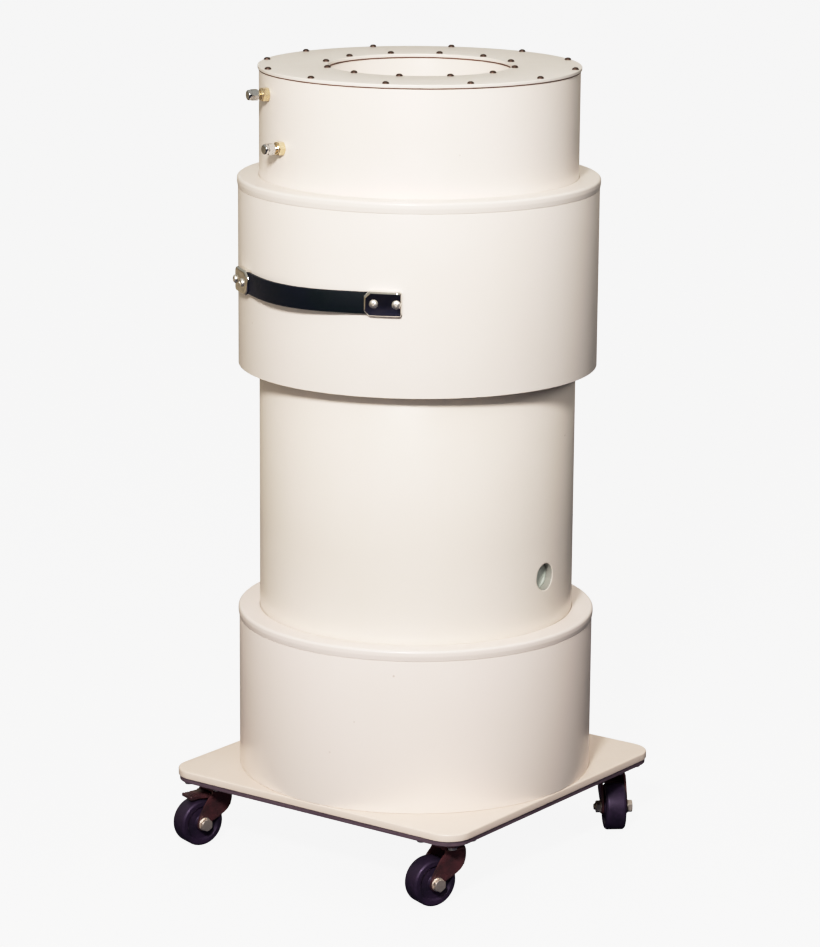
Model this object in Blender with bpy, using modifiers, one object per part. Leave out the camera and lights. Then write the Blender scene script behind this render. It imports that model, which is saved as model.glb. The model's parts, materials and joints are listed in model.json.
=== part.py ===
"""Cartridge dust collector: a stepped round housing on a square caster dolly.

Metres, +Z up. The origin is on the floor, on the axis of the housing.
-Y is the front, where the carrying strap is. The port is on the +X side.
The head (neck, collar, cover, throat) lifts straight off the body tube.
"""

import math

import bmesh
import bpy
from mathutils import Matrix, Vector

# ---- driving dimensions -------------------------------------------------
GAP = 0.0003                 # between pieces that touch
RUN = 0.0005                 # beside faces that turn or slide on each other

TUBE_R = 0.1778              # 14 inch tube, outside
TUBE_WALL = 0.0111
SHELL_R = 0.2013             # 16 inch collar and base drum, outside
SHELL_WALL = 0.0100
RING_R = 0.2030              # shoulder rings, a little proud of the shells
RING_THICK = 0.0120
RING_TOP_ROUND = 0.0050
RING_LOW_ROUND = 0.0030
THROAT_R = 0.1095            # 8 inch tube, outside
THROAT_WALL = 0.0082

DECK_HALF = 0.2015
DECK_CORNER = 0.0290
DECK_THICK = 0.0085
UNDERPLATE_THICK = 0.0055
UNDERPLATE_INSET = 0.0015

WHEEL_R = 0.0270
CASTER_HEIGHT = 0.0745       # floor to the top of the caster's plate

# heights above the deck's top face
DRUM_HEIGHT = 0.1866
PORT_HEIGHT = 0.2456
COLLAR_BOTTOM = 0.4675
STRAP_HEIGHT = 0.5710
COLLAR_TOP = 0.6794
LOWER_FITTING_HEIGHT = 0.7218
UPPER_FITTING_HEIGHT = 0.7760
COVER_TOP = 0.8015

DECK_TOP = CASTER_HEIGHT + UNDERPLATE_THICK + DECK_THICK + 2 * GAP
DRUM_TOP_Z = DECK_TOP + DRUM_HEIGHT
COLLAR_BOTTOM_Z = DECK_TOP + COLLAR_BOTTOM
COLLAR_TOP_Z = DECK_TOP + COLLAR_TOP
COVER_TOP_Z = DECK_TOP + COVER_TOP
JOINT_Z = COLLAR_BOTTOM_Z + 0.085      # body tube meets neck, inside the collar

COVER_R = 0.1792
COVER_THICK = 0.0038
COVER_OPENING_R = THROAT_R - THROAT_WALL
GASKET_THICK = 0.0013
GASKET_EDGE = 0.0006         # how far the gaskets stand out of the joint

SEGMENTS = 36                # round the housing
INNER_SEGMENTS = 24          # round the pieces inside it
SMALL_SEGMENTS = 10          # round holes, shanks and screws

# ---- materials: colour, roughness, metallic -------------------------------
MATERIALS = {
    "white_pvc": ((0.80, 0.76, 0.70), 0.35, 0.0),
    "cover_pvc": ((0.66, 0.65, 0.61), 0.40, 0.0),
    "dark_board": ((0.035, 0.022, 0.025), 0.60, 0.0),
    "red_rubber": ((0.22, 0.07, 0.04), 0.70, 0.0),
    "black_strap": ((0.008, 0.009, 0.014), 0.45, 0.0),
    "chrome": ((0.75, 0.72, 0.66), 0.12, 1.0),
    "brass": ((0.70, 0.52, 0.26), 0.25, 1.0),
    "zinc": ((0.62, 0.60, 0.55), 0.30, 1.0),
    "fork_steel": ((0.040, 0.022, 0.022), 0.35, 0.6),
    "wheel_rubber": ((0.020, 0.013, 0.024), 0.50, 0.0),
    "filter_paper": ((0.78, 0.74, 0.60), 0.90, 0.0),
    "filter_cap": ((0.10, 0.10, 0.11), 0.60, 0.0),
    "pail_steel": ((0.50, 0.51, 0.52), 0.35, 1.0),
    "foam_seal": ((0.05, 0.05, 0.05), 0.90, 0.0),
}


def clear_scene():
    for obj in list(bpy.data.objects):
        bpy.data.objects.remove(obj, do_unlink=True)


def new_collection(name):
    collection = bpy.data.collections.new(name)
    bpy.context.scene.collection.children.link(collection)
    return collection


def make_material(name):
    colour, roughness, metallic = MATERIALS[name]
    material = bpy.data.materials.new(name)
    material.use_nodes = True
    shader = material.node_tree.nodes["Principled BSDF"]
    shader.inputs["Base Color"].default_value = (*colour, 1.0)
    shader.inputs["Roughness"].default_value = roughness
    shader.inputs["Metallic"].default_value = metallic
    material.diffuse_color = (*colour, 1.0)
    return material


def get_material(name):
    return bpy.data.materials.get(name) or make_material(name)


clear_scene()
PARTS = new_collection("dust_collector")
CUTTERS = new_collection("cutters")


# ---- building blocks -------------------------------------------------------
def add_object(name, data, material=None, collection=PARTS):
    obj = bpy.data.objects.new(name, data)
    collection.objects.link(obj)
    if material:
        data.materials.append(get_material(material))
    return obj


def add_empty(name, location, turn=0.0, parent=None):
    empty = bpy.data.objects.new(name, None)
    PARTS.objects.link(empty)
    empty.location = location
    empty.rotation_euler = (0.0, 0.0, turn)
    empty.parent = parent
    return empty


def profile_mesh(name, points, closed):
    """The half outline of a turned piece, in the XZ plane at +X."""
    mesh = bpy.data.meshes.new(name)
    count = len(points)
    edges = [(i, i + 1) for i in range(count - 1)]
    if closed:
        edges.append((count - 1, 0))
    mesh.from_pydata([(r, 0.0, z) for r, z in points], edges, [])
    return mesh


def turned(name, points, material, closed=True, steps=SEGMENTS, collection=PARTS):
    """Turn an outline about Z. It runs down the outer side first."""
    obj = add_object(name, profile_mesh(name, points, closed), material, collection)
    screw = obj.modifiers.new("turn", "SCREW")
    screw.axis = "Z"
    screw.angle = 2.0 * math.pi
    screw.steps = steps
    screw.render_steps = steps
    screw.use_merge_vertices = True
    screw.merge_threshold = 0.00001
    return obj


def tube(name, outer, inner, bottom, top, material, steps=SEGMENTS):
    outline = [(outer, top), (outer, bottom), (inner, bottom), (inner, top)]
    return turned(name, outline, material, steps=steps)


def arc_points(centre, radius, start, end, count):
    """Points on an arc, angles in degrees."""
    points = []
    for i in range(count + 1):
        angle = math.radians(start + (end - start) * i / count)
        points.append((centre[0] + radius * math.cos(angle),
                       centre[1] + radius * math.sin(angle)))
    return points


def flat_outline(name, points, thickness, material=None, collection=PARTS):
    """A flat plate: a filled 2D curve, centred on its own XY plane."""
    curve = bpy.data.curves.new(name, "CURVE")
    curve.dimensions = "2D"
    curve.fill_mode = "BOTH"
    curve.extrude = thickness / 2.0
    spline = curve.splines.new("POLY")
    spline.points.add(len(points) - 1)
    for point, (x, y) in zip(spline.points, points):
        point.co = (x, y, 0.0, 1.0)
    spline.use_cyclic_u = True
    return add_object(name, curve, material, collection)


def as_mesh(curve_obj):
    """Replace a curve object by its mesh, with the caps welded on."""
    bpy.context.view_layer.update()
    graph = bpy.context.evaluated_depsgraph_get()
    mesh = bpy.data.meshes.new_from_object(curve_obj.evaluated_get(graph))
    work = bmesh.new()
    work.from_mesh(mesh)
    bmesh.ops.remove_doubles(work, verts=work.verts, dist=0.000005)
    bmesh.ops.recalc_face_normals(work, faces=work.faces)
    work.to_mesh(mesh)
    work.free()
    name = curve_obj.name
    place = curve_obj.matrix_world.copy()
    collection = curve_obj.users_collection[0]
    bpy.data.objects.remove(curve_obj, do_unlink=True)
    obj = bpy.data.objects.new(name, mesh)
    collection.objects.link(obj)
    obj.matrix_world = place
    return obj


def plate(name, points, thickness, material, collection=PARTS):
    obj = as_mesh(flat_outline(name, points, thickness, material, collection))
    obj.name = name
    return obj


def prism(name, radius, length, sides, material=None, collection=PARTS):
    """A solid prism or cylinder along its own Z, centred."""
    mesh = bpy.data.meshes.new(name)
    work = bmesh.new()
    bmesh.ops.create_cone(work, cap_ends=True, segments=sides, radius1=radius,
                          radius2=radius, depth=length)
    work.to_mesh(mesh)
    work.free()
    return add_object(name, mesh, material, collection)


def box(name, size, material=None, collection=PARTS):
    mesh = bpy.data.meshes.new(name)
    work = bmesh.new()
    bmesh.ops.create_cube(work, size=1.0)
    bmesh.ops.scale(work, vec=Vector(size), verts=work.verts)
    work.to_mesh(mesh)
    work.free()
    return add_object(name, mesh, material, collection)


def as_cutter(obj):
    for collection in obj.users_collection:
        collection.objects.unlink(obj)
    CUTTERS.objects.link(obj)
    obj.hide_render = True
    obj.display_type = "WIRE"
    return obj


def boolean(obj, other, operation):
    as_cutter(other)
    modifier = obj.modifiers.new(operation.lower(), "BOOLEAN")
    modifier.operation = operation
    modifier.solver = "EXACT"
    modifier.object = other


def radial(azimuth, distance, height):
    """A matrix whose +Z points outwards from the axis at this azimuth."""
    turn = Matrix.Rotation(math.radians(azimuth), 4, "Z")
    lay = Matrix.Rotation(math.radians(90.0), 4, "Y")
    return turn @ Matrix.Translation((distance, 0.0, height)) @ lay


def radial_hole(obj, name, radius, azimuth, distance, height, depth=0.03):
    drill = prism(name, radius, depth, SMALL_SEGMENTS, collection=CUTTERS)
    drill.matrix_world = radial(azimuth, distance, height)
    boolean(obj, drill, "DIFFERENCE")


def rounded_square(half, corner, steps=5):
    inner = half - corner
    points = []
    for k in range(4):
        angle = 90.0 * k
        sign_x = 1 if k in (0, 3) else -1
        sign_y = 1 if k in (0, 1) else -1
        centre = (sign_x * inner, sign_y * inner)
        points += arc_points(centre, corner, angle, angle + 90.0, steps)
    return points


# ---- dolly ------------------------------------------------------------------
def build_deck():
    underplate_z = CASTER_HEIGHT + GAP + UNDERPLATE_THICK / 2.0
    underplate = plate("deck_underplate",
                       rounded_square(DECK_HALF - UNDERPLATE_INSET,
                                      DECK_CORNER - UNDERPLATE_INSET),
                       UNDERPLATE_THICK, "dark_board")
    underplate.location.z = underplate_z
    deck = plate("deck", rounded_square(DECK_HALF, DECK_CORNER),
                 DECK_THICK, "white_pvc")
    deck.location.z = DECK_TOP - DECK_THICK / 2.0


# Caster, in its own frame: the kingpin is on Z, the wheel trails along +X,
# and the axle runs along Y. Heights are above the floor.
CASTER_OFFSET = 0.1650
TRAIL = 0.0210
PLATE_SIZE = (0.056, 0.050)
PLATE_THICK = 0.0025
RACE_R = 0.0170
RACE_BOTTOM = 0.0653
CROWN_TOP = RACE_BOTTOM - GAP
CROWN_THICK = 0.0030
KINGPIN_R = 0.0045
LEG_THICK = 0.0025
LEG_INSIDE = 0.0125
WEB_HEIGHT = 0.0175          # the web that joins the legs in front of the wheel
HUB_HALF = LEG_INSIDE - RUN
TREAD_HALF = 0.0117
BOSS_R = 0.0085
AXLE_R = 0.0040
HEX_R = 0.0080
HEX_THICK = 0.0060
BRAKE_PIVOT = (0.0110, 0.0580)
BRAKE_PIN_R = 0.0018


def caster_plate(tag):
    """Top plate with its ball race and riveted kingpin, in one piece."""
    top = CASTER_HEIGHT - PLATE_THICK
    rivet_top = CROWN_TOP - CROWN_THICK - GAP
    outline = [
        (0.0, top + 0.001),
        (RACE_R, top + 0.001),
        (RACE_R, RACE_BOTTOM),
        (KINGPIN_R, RACE_BOTTOM),
        (KINGPIN_R, rivet_top),
        (0.0065, rivet_top),
        (0.0065, rivet_top - 0.0022),
        (0.0, rivet_top - 0.0022),
    ]
    pin = turned(f"{tag}_kingpin_form", outline, None, closed=False,
                 steps=12, collection=CUTTERS)
    flange = box(f"{tag}_plate", (*PLATE_SIZE, PLATE_THICK), "fork_steel")
    flange.location.z = CASTER_HEIGHT - PLATE_THICK / 2.0
    boolean(flange, pin, "UNION")
    return [flange, pin]


def fork_leg_outline():
    """Side view of a fork leg in X and Z, from the crown to the axle boss."""
    axle = (TRAIL, WHEEL_R)
    points = [(-0.0160, CROWN_TOP - 0.0004), (-0.0160, 0.0480)]
    points += arc_points(axle, BOSS_R, 200.0, 390.0, 6)
    points += [(0.0165, 0.0540), (0.0080, CROWN_TOP - 0.0004)]
    return points


def stand_up(obj, side_y):
    """Turn a plate drawn in XY to stand in XZ, centred at this Y."""
    obj.matrix_world = (Matrix.Translation((0.0, side_y, 0.0))
                        @ Matrix.Rotation(math.radians(90.0), 4, "X"))


def cross_hole(obj, name, radius, x, z):
    drill = prism(name, radius, 0.06, SMALL_SEGMENTS, collection=CUTTERS)
    drill.matrix_world = (Matrix.Translation((x, 0.0, z))
                          @ Matrix.Rotation(math.radians(90.0), 4, "X"))
    boolean(obj, drill, "DIFFERENCE")
    return drill


def caster_fork(tag, braked):
    crown = box(f"{tag}_fork", (0.0235, 2 * LEG_INSIDE + 0.004, CROWN_THICK),
                "fork_steel")
    crown.location = (-0.0040, 0.0, CROWN_TOP - CROWN_THICK / 2.0)
    pieces = [crown]
    for side in (-1, 1):
        leg = plate(f"{tag}_leg_form_{'a' if side < 0 else 'b'}",
                    fork_leg_outline(), LEG_THICK, None)
        stand_up(leg, side * (LEG_INSIDE + LEG_THICK / 2.0))
        boolean(crown, leg, "UNION")
        pieces.append(leg)
    web = box(f"{tag}_web_form", (LEG_THICK, 2 * LEG_INSIDE + 0.004, WEB_HEIGHT))
    web.location = (-0.0145, 0.0, CROWN_TOP - 0.001 - WEB_HEIGHT / 2.0)
    boolean(crown, web, "UNION")
    pieces.append(web)
    eye = prism(f"{tag}_kingpin_hole", KINGPIN_R + GAP, 0.02, SMALL_SEGMENTS,
                collection=CUTTERS)
    eye.location.z = CROWN_TOP
    boolean(crown, eye, "DIFFERENCE")
    pieces.append(eye)
    pieces.append(cross_hole(crown, f"{tag}_axle_hole", AXLE_R + GAP,
                             TRAIL, WHEEL_R))
    if braked:
        pieces.append(cross_hole(crown, f"{tag}_brake_hole",
                                 BRAKE_PIN_R + GAP, *BRAKE_PIVOT))
    return pieces


def wheel_outline():
    """Half section of the wheel: tread, side, hub boss and bore."""
    bore = AXLE_R + GAP
    return [
        (WHEEL_R, 0.0092),
        (WHEEL_R, -0.0092),
        (WHEEL_R - 0.0028, -TREAD_HALF),
        (0.0100, -TREAD_HALF),
        (0.0085, -HUB_HALF),
        (bore, -HUB_HALF),
        (bore, HUB_HALF),
        (0.0085, HUB_HALF),
        (0.0100, TREAD_HALF),
        (WHEEL_R - 0.0028, TREAD_HALF),
    ]


def lay_on_axle(obj, along=0.0):
    """Lay a piece that is modelled about Z on the axle, shifted along it."""
    obj.matrix_world = (Matrix.Translation((TRAIL, along, WHEEL_R))
                        @ Matrix.Rotation(math.radians(-90.0), 4, "X"))


def caster_axle(tag):
    """Hex bolt through both legs, and the nut that holds it."""
    face = LEG_INSIDE + LEG_THICK + GAP
    shank_end = -(face + HEX_THICK + 0.0025)
    head_end = face + HEX_THICK
    bolt = prism(f"{tag}_axle_bolt", HEX_R, HEX_THICK, 6, "zinc")
    lay_on_axle(bolt, face + HEX_THICK / 2.0)
    shank = prism(f"{tag}_shank_form", AXLE_R, head_end - 0.002 - shank_end,
                  SMALL_SEGMENTS, collection=CUTTERS)
    lay_on_axle(shank, (head_end - 0.002 + shank_end) / 2.0)
    boolean(bolt, shank, "UNION")
    nut = prism(f"{tag}_axle_nut", HEX_R, HEX_THICK, 6, "zinc")
    lay_on_axle(nut, -(face + HEX_THICK / 2.0))
    thread = prism(f"{tag}_thread_form", AXLE_R + GAP, 0.02, SMALL_SEGMENTS,
                   collection=CUTTERS)
    lay_on_axle(thread, -(face + HEX_THICK / 2.0))
    boolean(nut, thread, "DIFFERENCE")
    return [bolt, shank, nut, thread]


def caster_brake(tag):
    """Foot pedal with its pivot pin, between the legs above the wheel."""
    x, z = BRAKE_PIVOT
    outline = arc_points((x, z), 0.0032, 100.0, 260.0, 5)
    outline += [(0.0240, 0.0566), (0.0350, 0.0562), (0.0360, 0.0572),
                (0.0360, 0.0600), (0.0340, 0.0610)]
    pedal = plate(f"{tag}_brake_pedal", outline, 0.0210, None)
    pedal.data.materials.append(get_material("fork_steel"))
    stand_up(pedal, 0.0)
    pin = prism(f"{tag}_brake_pin_form", BRAKE_PIN_R, 0.032, 12,
                collection=CUTTERS)
    pin.matrix_world = (Matrix.Translation((x, 0.0, z))
                        @ Matrix.Rotation(math.radians(90.0), 4, "X"))
    boolean(pedal, pin, "UNION")
    return [pedal, pin]


def build_caster(tag, sign_x, sign_y, trail_degrees, braked):
    """One swivel caster; the forks point where they last rolled."""
    spot = (sign_x * CASTER_OFFSET, sign_y * CASTER_OFFSET, 0.0)
    mount = add_empty(f"{tag}_mount", spot)
    swivel = add_empty(f"{tag}_swivel", (0.0, 0.0, 0.0),
                       math.radians(trail_degrees), mount)
    for piece in caster_plate(tag):
        piece.parent = mount
    moving = caster_fork(tag, braked)
    wheel = turned(f"{tag}_wheel", wheel_outline(), "wheel_rubber", steps=20)
    lay_on_axle(wheel)
    moving.append(wheel)
    moving += caster_axle(tag)
    if braked:
        moving += caster_brake(tag)
    for piece in moving:
        piece.parent = swivel


def build_casters():
    build_caster("caster_front_right", 1, -1, -111.0, False)
    build_caster("caster_front_left", -1, -1, -109.0, True)
    build_caster("caster_rear_right", 1, 1, -49.0, False)
    build_caster("caster_rear_left", -1, 1, 111.0, False)


# ---- base drum and body tube -----------------------------------------------
PORT_R = 0.0150
PLUG_RECESS = 0.0085         # how far the plug sits behind the tube's surface
PLUG_THICK = 0.0050
TUBE_BELOW_RING = 0.0400
PAIL_R = 0.1500
PAIL_WALL = 0.0025
PAIL_HEIGHT = 0.1600


def shoulder_ring(name, top):
    """Flat ring with a rounded edge that steps the tube out to the shell."""
    low = top - RING_THICK
    outline = arc_points((RING_R - RING_TOP_ROUND, top - RING_TOP_ROUND),
                         RING_TOP_ROUND, 90.0, 0.0, 3)
    outline += arc_points((RING_R - RING_LOW_ROUND, low + RING_LOW_ROUND),
                          RING_LOW_ROUND, 0.0, -90.0, 2)
    outline += [(TUBE_R + GAP, low), (TUBE_R + GAP, top)]
    return turned(name, outline, "white_pvc")


def build_base():
    tube("base_drum", SHELL_R, SHELL_R - SHELL_WALL, DECK_TOP + GAP,
         DRUM_TOP_Z - RING_THICK - GAP, "white_pvc")
    shoulder_ring("drum_shoulder_ring", DRUM_TOP_Z)
    body = tube("body_tube", TUBE_R, TUBE_R - TUBE_WALL,
                DRUM_TOP_Z - TUBE_BELOW_RING, JOINT_Z, "white_pvc")
    radial_hole(body, "port_drill", PORT_R, 0.0, TUBE_R - TUBE_WALL / 2.0,
                DECK_TOP + PORT_HEIGHT)
    plug = prism("port_plug", PORT_R - GAP, PLUG_THICK, SMALL_SEGMENTS, "white_pvc")
    plug.matrix_world = radial(0.0, TUBE_R - PLUG_RECESS - PLUG_THICK / 2.0,
                               DECK_TOP + PORT_HEIGHT)


def build_pail():
    bottom = DECK_TOP + 2 * GAP
    top = bottom + PAIL_HEIGHT
    outline = [
        (0.0, bottom + PAIL_WALL),
        (PAIL_R - 0.010 - PAIL_WALL, bottom + PAIL_WALL),
        (PAIL_R - PAIL_WALL, top),
        (PAIL_R, top),
        (PAIL_R - 0.010, bottom),
        (0.0, bottom),
    ]
    turned("dust_pail", outline, "pail_steel", closed=False,
           steps=INNER_SEGMENTS)


# ---- filter cartridge --------------------------------------------------------
SEAT_INNER_R = 0.1523
SEAT_TOP = JOINT_Z - 0.0350
FILTER_OUTER_R = 0.1500
FILTER_INNER_R = 0.1220
FILTER_BOTTOM = 0.3000
FILTER_THICK = 0.0012
PLEATS = 24
CAP_THICK = 0.0100


def build_filter():
    bore = TUBE_R - TUBE_WALL - GAP
    tube("filter_seat_ring", bore, SEAT_INNER_R, SEAT_TOP - 0.010, SEAT_TOP,
         "white_pvc")
    cap_bottom = SEAT_TOP + GAP
    tube("filter_top_cap", 0.1600, THROAT_R - THROAT_WALL + 0.004,
         cap_bottom, cap_bottom + CAP_THICK, "filter_cap",
         steps=INNER_SEGMENTS)
    build_media(FILTER_BOTTOM + GAP, cap_bottom - GAP)
    skirt = [
        (FILTER_OUTER_R, FILTER_BOTTOM),
        (FILTER_OUTER_R, FILTER_BOTTOM - 0.008),
        (0.1360, FILTER_BOTTOM - 0.010),
        (0.1360, DECK_TOP + PAIL_HEIGHT - 0.015),
        (0.1335, DECK_TOP + PAIL_HEIGHT - 0.015),
        (0.1200, FILTER_BOTTOM - 0.012),
        (0.1200, FILTER_BOTTOM),
    ]
    turned("filter_bottom_cap", skirt, "filter_cap", steps=INNER_SEGMENTS)


def pleat_path(offset):
    """Zigzag round the axis, in and out once per pleat."""
    points = []
    for i in range(2 * PLEATS):
        angle = math.pi * i / PLEATS
        radius = (FILTER_OUTER_R if i % 2 else FILTER_INNER_R) + offset
        points.append((radius * math.cos(angle), radius * math.sin(angle)))
    return points


def build_media(bottom, top):
    media = plate("filter_media", pleat_path(-FILTER_THICK), top - bottom, None)
    core = plate("filter_core_form", pleat_path(-3.5 * FILTER_THICK),
                 top - bottom + 0.02, None)
    media.data.materials.append(get_material("filter_paper"))
    for obj in (media, core):
        obj.location.z = (top + bottom) / 2.0
    boolean(media, core, "DIFFERENCE")


# ---- head: neck, collar, throat, cover ---------------------------------------
HEADER_FLOOR_Z = COLLAR_TOP_Z - 0.060
SEAL_THICK = 0.0030
THREAD_R = 0.0050


def fitting_azimuths():
    return (("upper_fitting", -121.7, DECK_TOP + UPPER_FITTING_HEIGHT),
            ("lower_fitting", -110.1, DECK_TOP + LOWER_FITTING_HEIGHT))


def build_head():
    tube("head_seal", TUBE_R - 0.001, TUBE_R - TUBE_WALL + 0.001,
         JOINT_Z + GAP, JOINT_Z + SEAL_THICK - GAP, "foam_seal")
    cover_bottom = COVER_TOP_Z - COVER_THICK
    rim = cover_bottom - GASKET_THICK
    neck = tube("neck_tube", TUBE_R, TUBE_R - TUBE_WALL,
                JOINT_Z + SEAL_THICK, rim, "white_pvc")
    for name, azimuth, height in fitting_azimuths():
        radial_hole(neck, f"{name}_drill", THREAD_R + GAP, azimuth,
                    TUBE_R - TUBE_WALL / 2.0, height)
    shoulder_ring("collar_shoulder_ring", COLLAR_TOP_Z)
    build_sleeve()
    cap_top = SEAT_TOP + GAP + CAP_THICK
    tube("filter_seal", THROAT_R, COVER_OPENING_R + 0.001,
         cap_top + GAP, cap_top + SEAL_THICK - GAP, "foam_seal")
    tube("throat_tube", THROAT_R, COVER_OPENING_R, cap_top + SEAL_THICK, rim,
         "white_pvc")
    tube("header_floor", TUBE_R - TUBE_WALL - GAP, THROAT_R + GAP,
         HEADER_FLOOR_Z, HEADER_FLOOR_Z + 0.010, "white_pvc")
    build_cover(cover_bottom, rim)


def build_cover(cover_bottom, rim):
    gasket_top = cover_bottom - GAP / 2.0
    gasket_bottom = rim + GAP / 2.0
    tube("cover_plate", COVER_R, COVER_OPENING_R, cover_bottom, COVER_TOP_Z,
         "cover_pvc")
    tube("cover_gasket_outer", TUBE_R + GASKET_EDGE, TUBE_R - TUBE_WALL,
         gasket_bottom, gasket_top, "red_rubber")
    tube("cover_gasket_inner", THROAT_R, COVER_OPENING_R - GASKET_EDGE,
         gasket_bottom, gasket_top, "red_rubber")


# ---- strap handles -------------------------------------------------------------
STRAP_WIDTH = 0.0240
STRAP_THICK = 0.0035
STRAP_BOW = 0.0090
STRAP_REST_R = SHELL_R + 0.0022
END_CAP_SPAN = 11.3          # degrees of the collar that one end cap covers
END_CAP_HALF = 29.3          # from the strap's middle to an end cap's middle
END_CAP_HEIGHT = 0.0272
END_CAP_PROUD = 0.0085
SCREW_HALF = 3.35            # half of the angle between an end cap's two screws
SCREW_SHIFT = 0.90           # their middle lies this far from the cap's, away from the strap
STRAP_SCREW_R = 0.0020
HANDLES = (("front_strap", -93.7), ("rear_strap", 86.3))


def polar(radius, degrees):
    angle = math.radians(degrees)
    return (radius * math.cos(angle), radius * math.sin(angle))


def strap_outline(centre):
    """Plan view of a strap that bows out between its two end caps."""
    tip = END_CAP_HALF - END_CAP_SPAN / 2.0 + 1.4
    steps = 16
    inner = []
    outer = []
    for i in range(steps + 1):
        share = -1.0 + 2.0 * i / steps
        bow = STRAP_BOW * (1.0 - share ** 2) ** 2
        radius = STRAP_REST_R + bow
        inner.append(polar(radius, centre + share * tip))
        outer.append(polar(radius + STRAP_THICK, centre + share * tip))
    return inner + outer[::-1]


def sector_outline(inner, outer, centre, half_span, steps=4):
    near = [polar(inner, centre + half_span * (-1.0 + 2.0 * i / steps))
            for i in range(steps + 1)]
    far = [polar(outer, centre + half_span * (-1.0 + 2.0 * i / steps))
           for i in range(steps + 1)]
    return near + far[::-1]


def end_cap(name, azimuth, toward):
    """Chrome end cap: a curved block with a pocket for the strap's tip."""
    height = DECK_TOP + STRAP_HEIGHT
    cap = plate(name, sector_outline(SHELL_R + GAP, SHELL_R + END_CAP_PROUD,
                                     azimuth, END_CAP_SPAN / 2.0),
                END_CAP_HEIGHT, None)
    cap.data.materials.append(get_material("chrome"))
    cap.location.z = height
    pocket = plate(f"{name}_pocket_form",
                   sector_outline(SHELL_R - 0.002,
                                  STRAP_REST_R + STRAP_THICK + 0.0006,
                                  azimuth + toward * END_CAP_SPAN / 2.0, 1.8),
                   STRAP_WIDTH + 0.001, None)
    pocket.location.z = height
    boolean(cap, pocket, "DIFFERENCE")
    for side in (-1, 1):
        radial_hole(cap, f"{name}_drill_{'a' if side < 0 else 'b'}",
                    STRAP_SCREW_R + GAP,
                    azimuth - toward * SCREW_SHIFT + side * SCREW_HALF,
                    SHELL_R, height, depth=0.05)


def strap_screw(name, azimuth):
    """Pan-head screw through an end cap into the collar wall."""
    head = SHELL_R + END_CAP_PROUD + GAP
    outline = [
        (0.0, head + 0.0026),
        (0.0024, head + 0.0023),
        (0.0042, head + 0.0014),
        (0.0048, head),
        (STRAP_SCREW_R, head),
        (STRAP_SCREW_R, SHELL_R - 0.0070),
        (0.0, SHELL_R - 0.0085),
    ]
    screw = turned(name, outline, "zinc", closed=False, steps=SMALL_SEGMENTS)
    screw.matrix_world = radial(azimuth, 0.0, DECK_TOP + STRAP_HEIGHT)


def cap_azimuths():
    for handle, centre in HANDLES:
        yield f"{handle}_cap_left", centre - END_CAP_HALF, 1
        yield f"{handle}_cap_right", centre + END_CAP_HALF, -1


def build_sleeve():
    sleeve = tube("collar_sleeve", SHELL_R, SHELL_R - SHELL_WALL,
                  COLLAR_BOTTOM_Z, COLLAR_TOP_Z - RING_THICK - GAP, "white_pvc")
    for cap, azimuth, toward in cap_azimuths():
        for side in (-1, 1):
            radial_hole(sleeve, f"{cap}_sleeve_drill_{'a' if side < 0 else 'b'}",
                        STRAP_SCREW_R + GAP,
                        azimuth - toward * SCREW_SHIFT + side * SCREW_HALF,
                        SHELL_R, DECK_TOP + STRAP_HEIGHT, depth=0.04)


def build_handles():
    height = DECK_TOP + STRAP_HEIGHT
    for handle, centre in HANDLES:
        strap = plate(handle, strap_outline(centre), STRAP_WIDTH, None)
        strap.data.materials.append(get_material("black_strap"))
        strap.location.z = height
    for cap, azimuth, toward in cap_azimuths():
        end_cap(cap, azimuth, toward)
        middle = azimuth - toward * SCREW_SHIFT
        strap_screw(f"{cap}_screw_1", middle - SCREW_HALF)
        strap_screw(f"{cap}_screw_2", middle + SCREW_HALF)


# ---- brass air fittings ----------------------------------------------------------
FITTING_HEX_R = 0.0080
FITTING_LENGTH = 0.0245
BARREL_R = 0.0042


def build_fitting(name, azimuth, height):
    """Threaded brass body with a hexagon, and the nut on its free end."""
    wall = TUBE_R + GAP
    end = TUBE_R + FITTING_LENGTH
    body = prism(f"{name}_body", FITTING_HEX_R, 0.0070, 6, "brass")
    body.matrix_world = radial(azimuth, wall + 0.0035, height)
    stem_start = TUBE_R - TUBE_WALL - 0.004
    stem = prism(f"{name}_stem_form", THREAD_R, wall + 0.002 - stem_start,
                 SMALL_SEGMENTS, collection=CUTTERS)
    stem.matrix_world = radial(azimuth, (wall + 0.002 + stem_start) / 2.0, height)
    boolean(body, stem, "UNION")
    barrel = prism(f"{name}_barrel_form", BARREL_R, end - 0.001 - wall - 0.005,
                   SMALL_SEGMENTS, collection=CUTTERS)
    barrel.matrix_world = radial(azimuth, (end - 0.001 + wall + 0.005) / 2.0, height)
    boolean(body, barrel, "UNION")
    nut = prism(f"{name}_nut", 0.0062, 0.0120, 6, "zinc")
    nut.matrix_world = radial(azimuth, end - 0.006, height)
    bore = prism(f"{name}_nut_bore", BARREL_R + GAP, 0.03, SMALL_SEGMENTS,
                 collection=CUTTERS)
    bore.matrix_world = radial(azimuth, end - 0.006, height)
    boolean(nut, bore, "DIFFERENCE")


build_deck()
build_casters()
build_base()
build_pail()
build_filter()
build_head()
build_handles()
for fitting, fitting_azimuth, fitting_height in fitting_azimuths():
    build_fitting(fitting, fitting_azimuth, fitting_height)
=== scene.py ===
import json
from math import asin, atan2, cos, hypot, pi, radians, sin, sqrt, tan

import bmesh
import bpy
import numpy as np
from mathutils import Matrix, Vector


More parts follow.
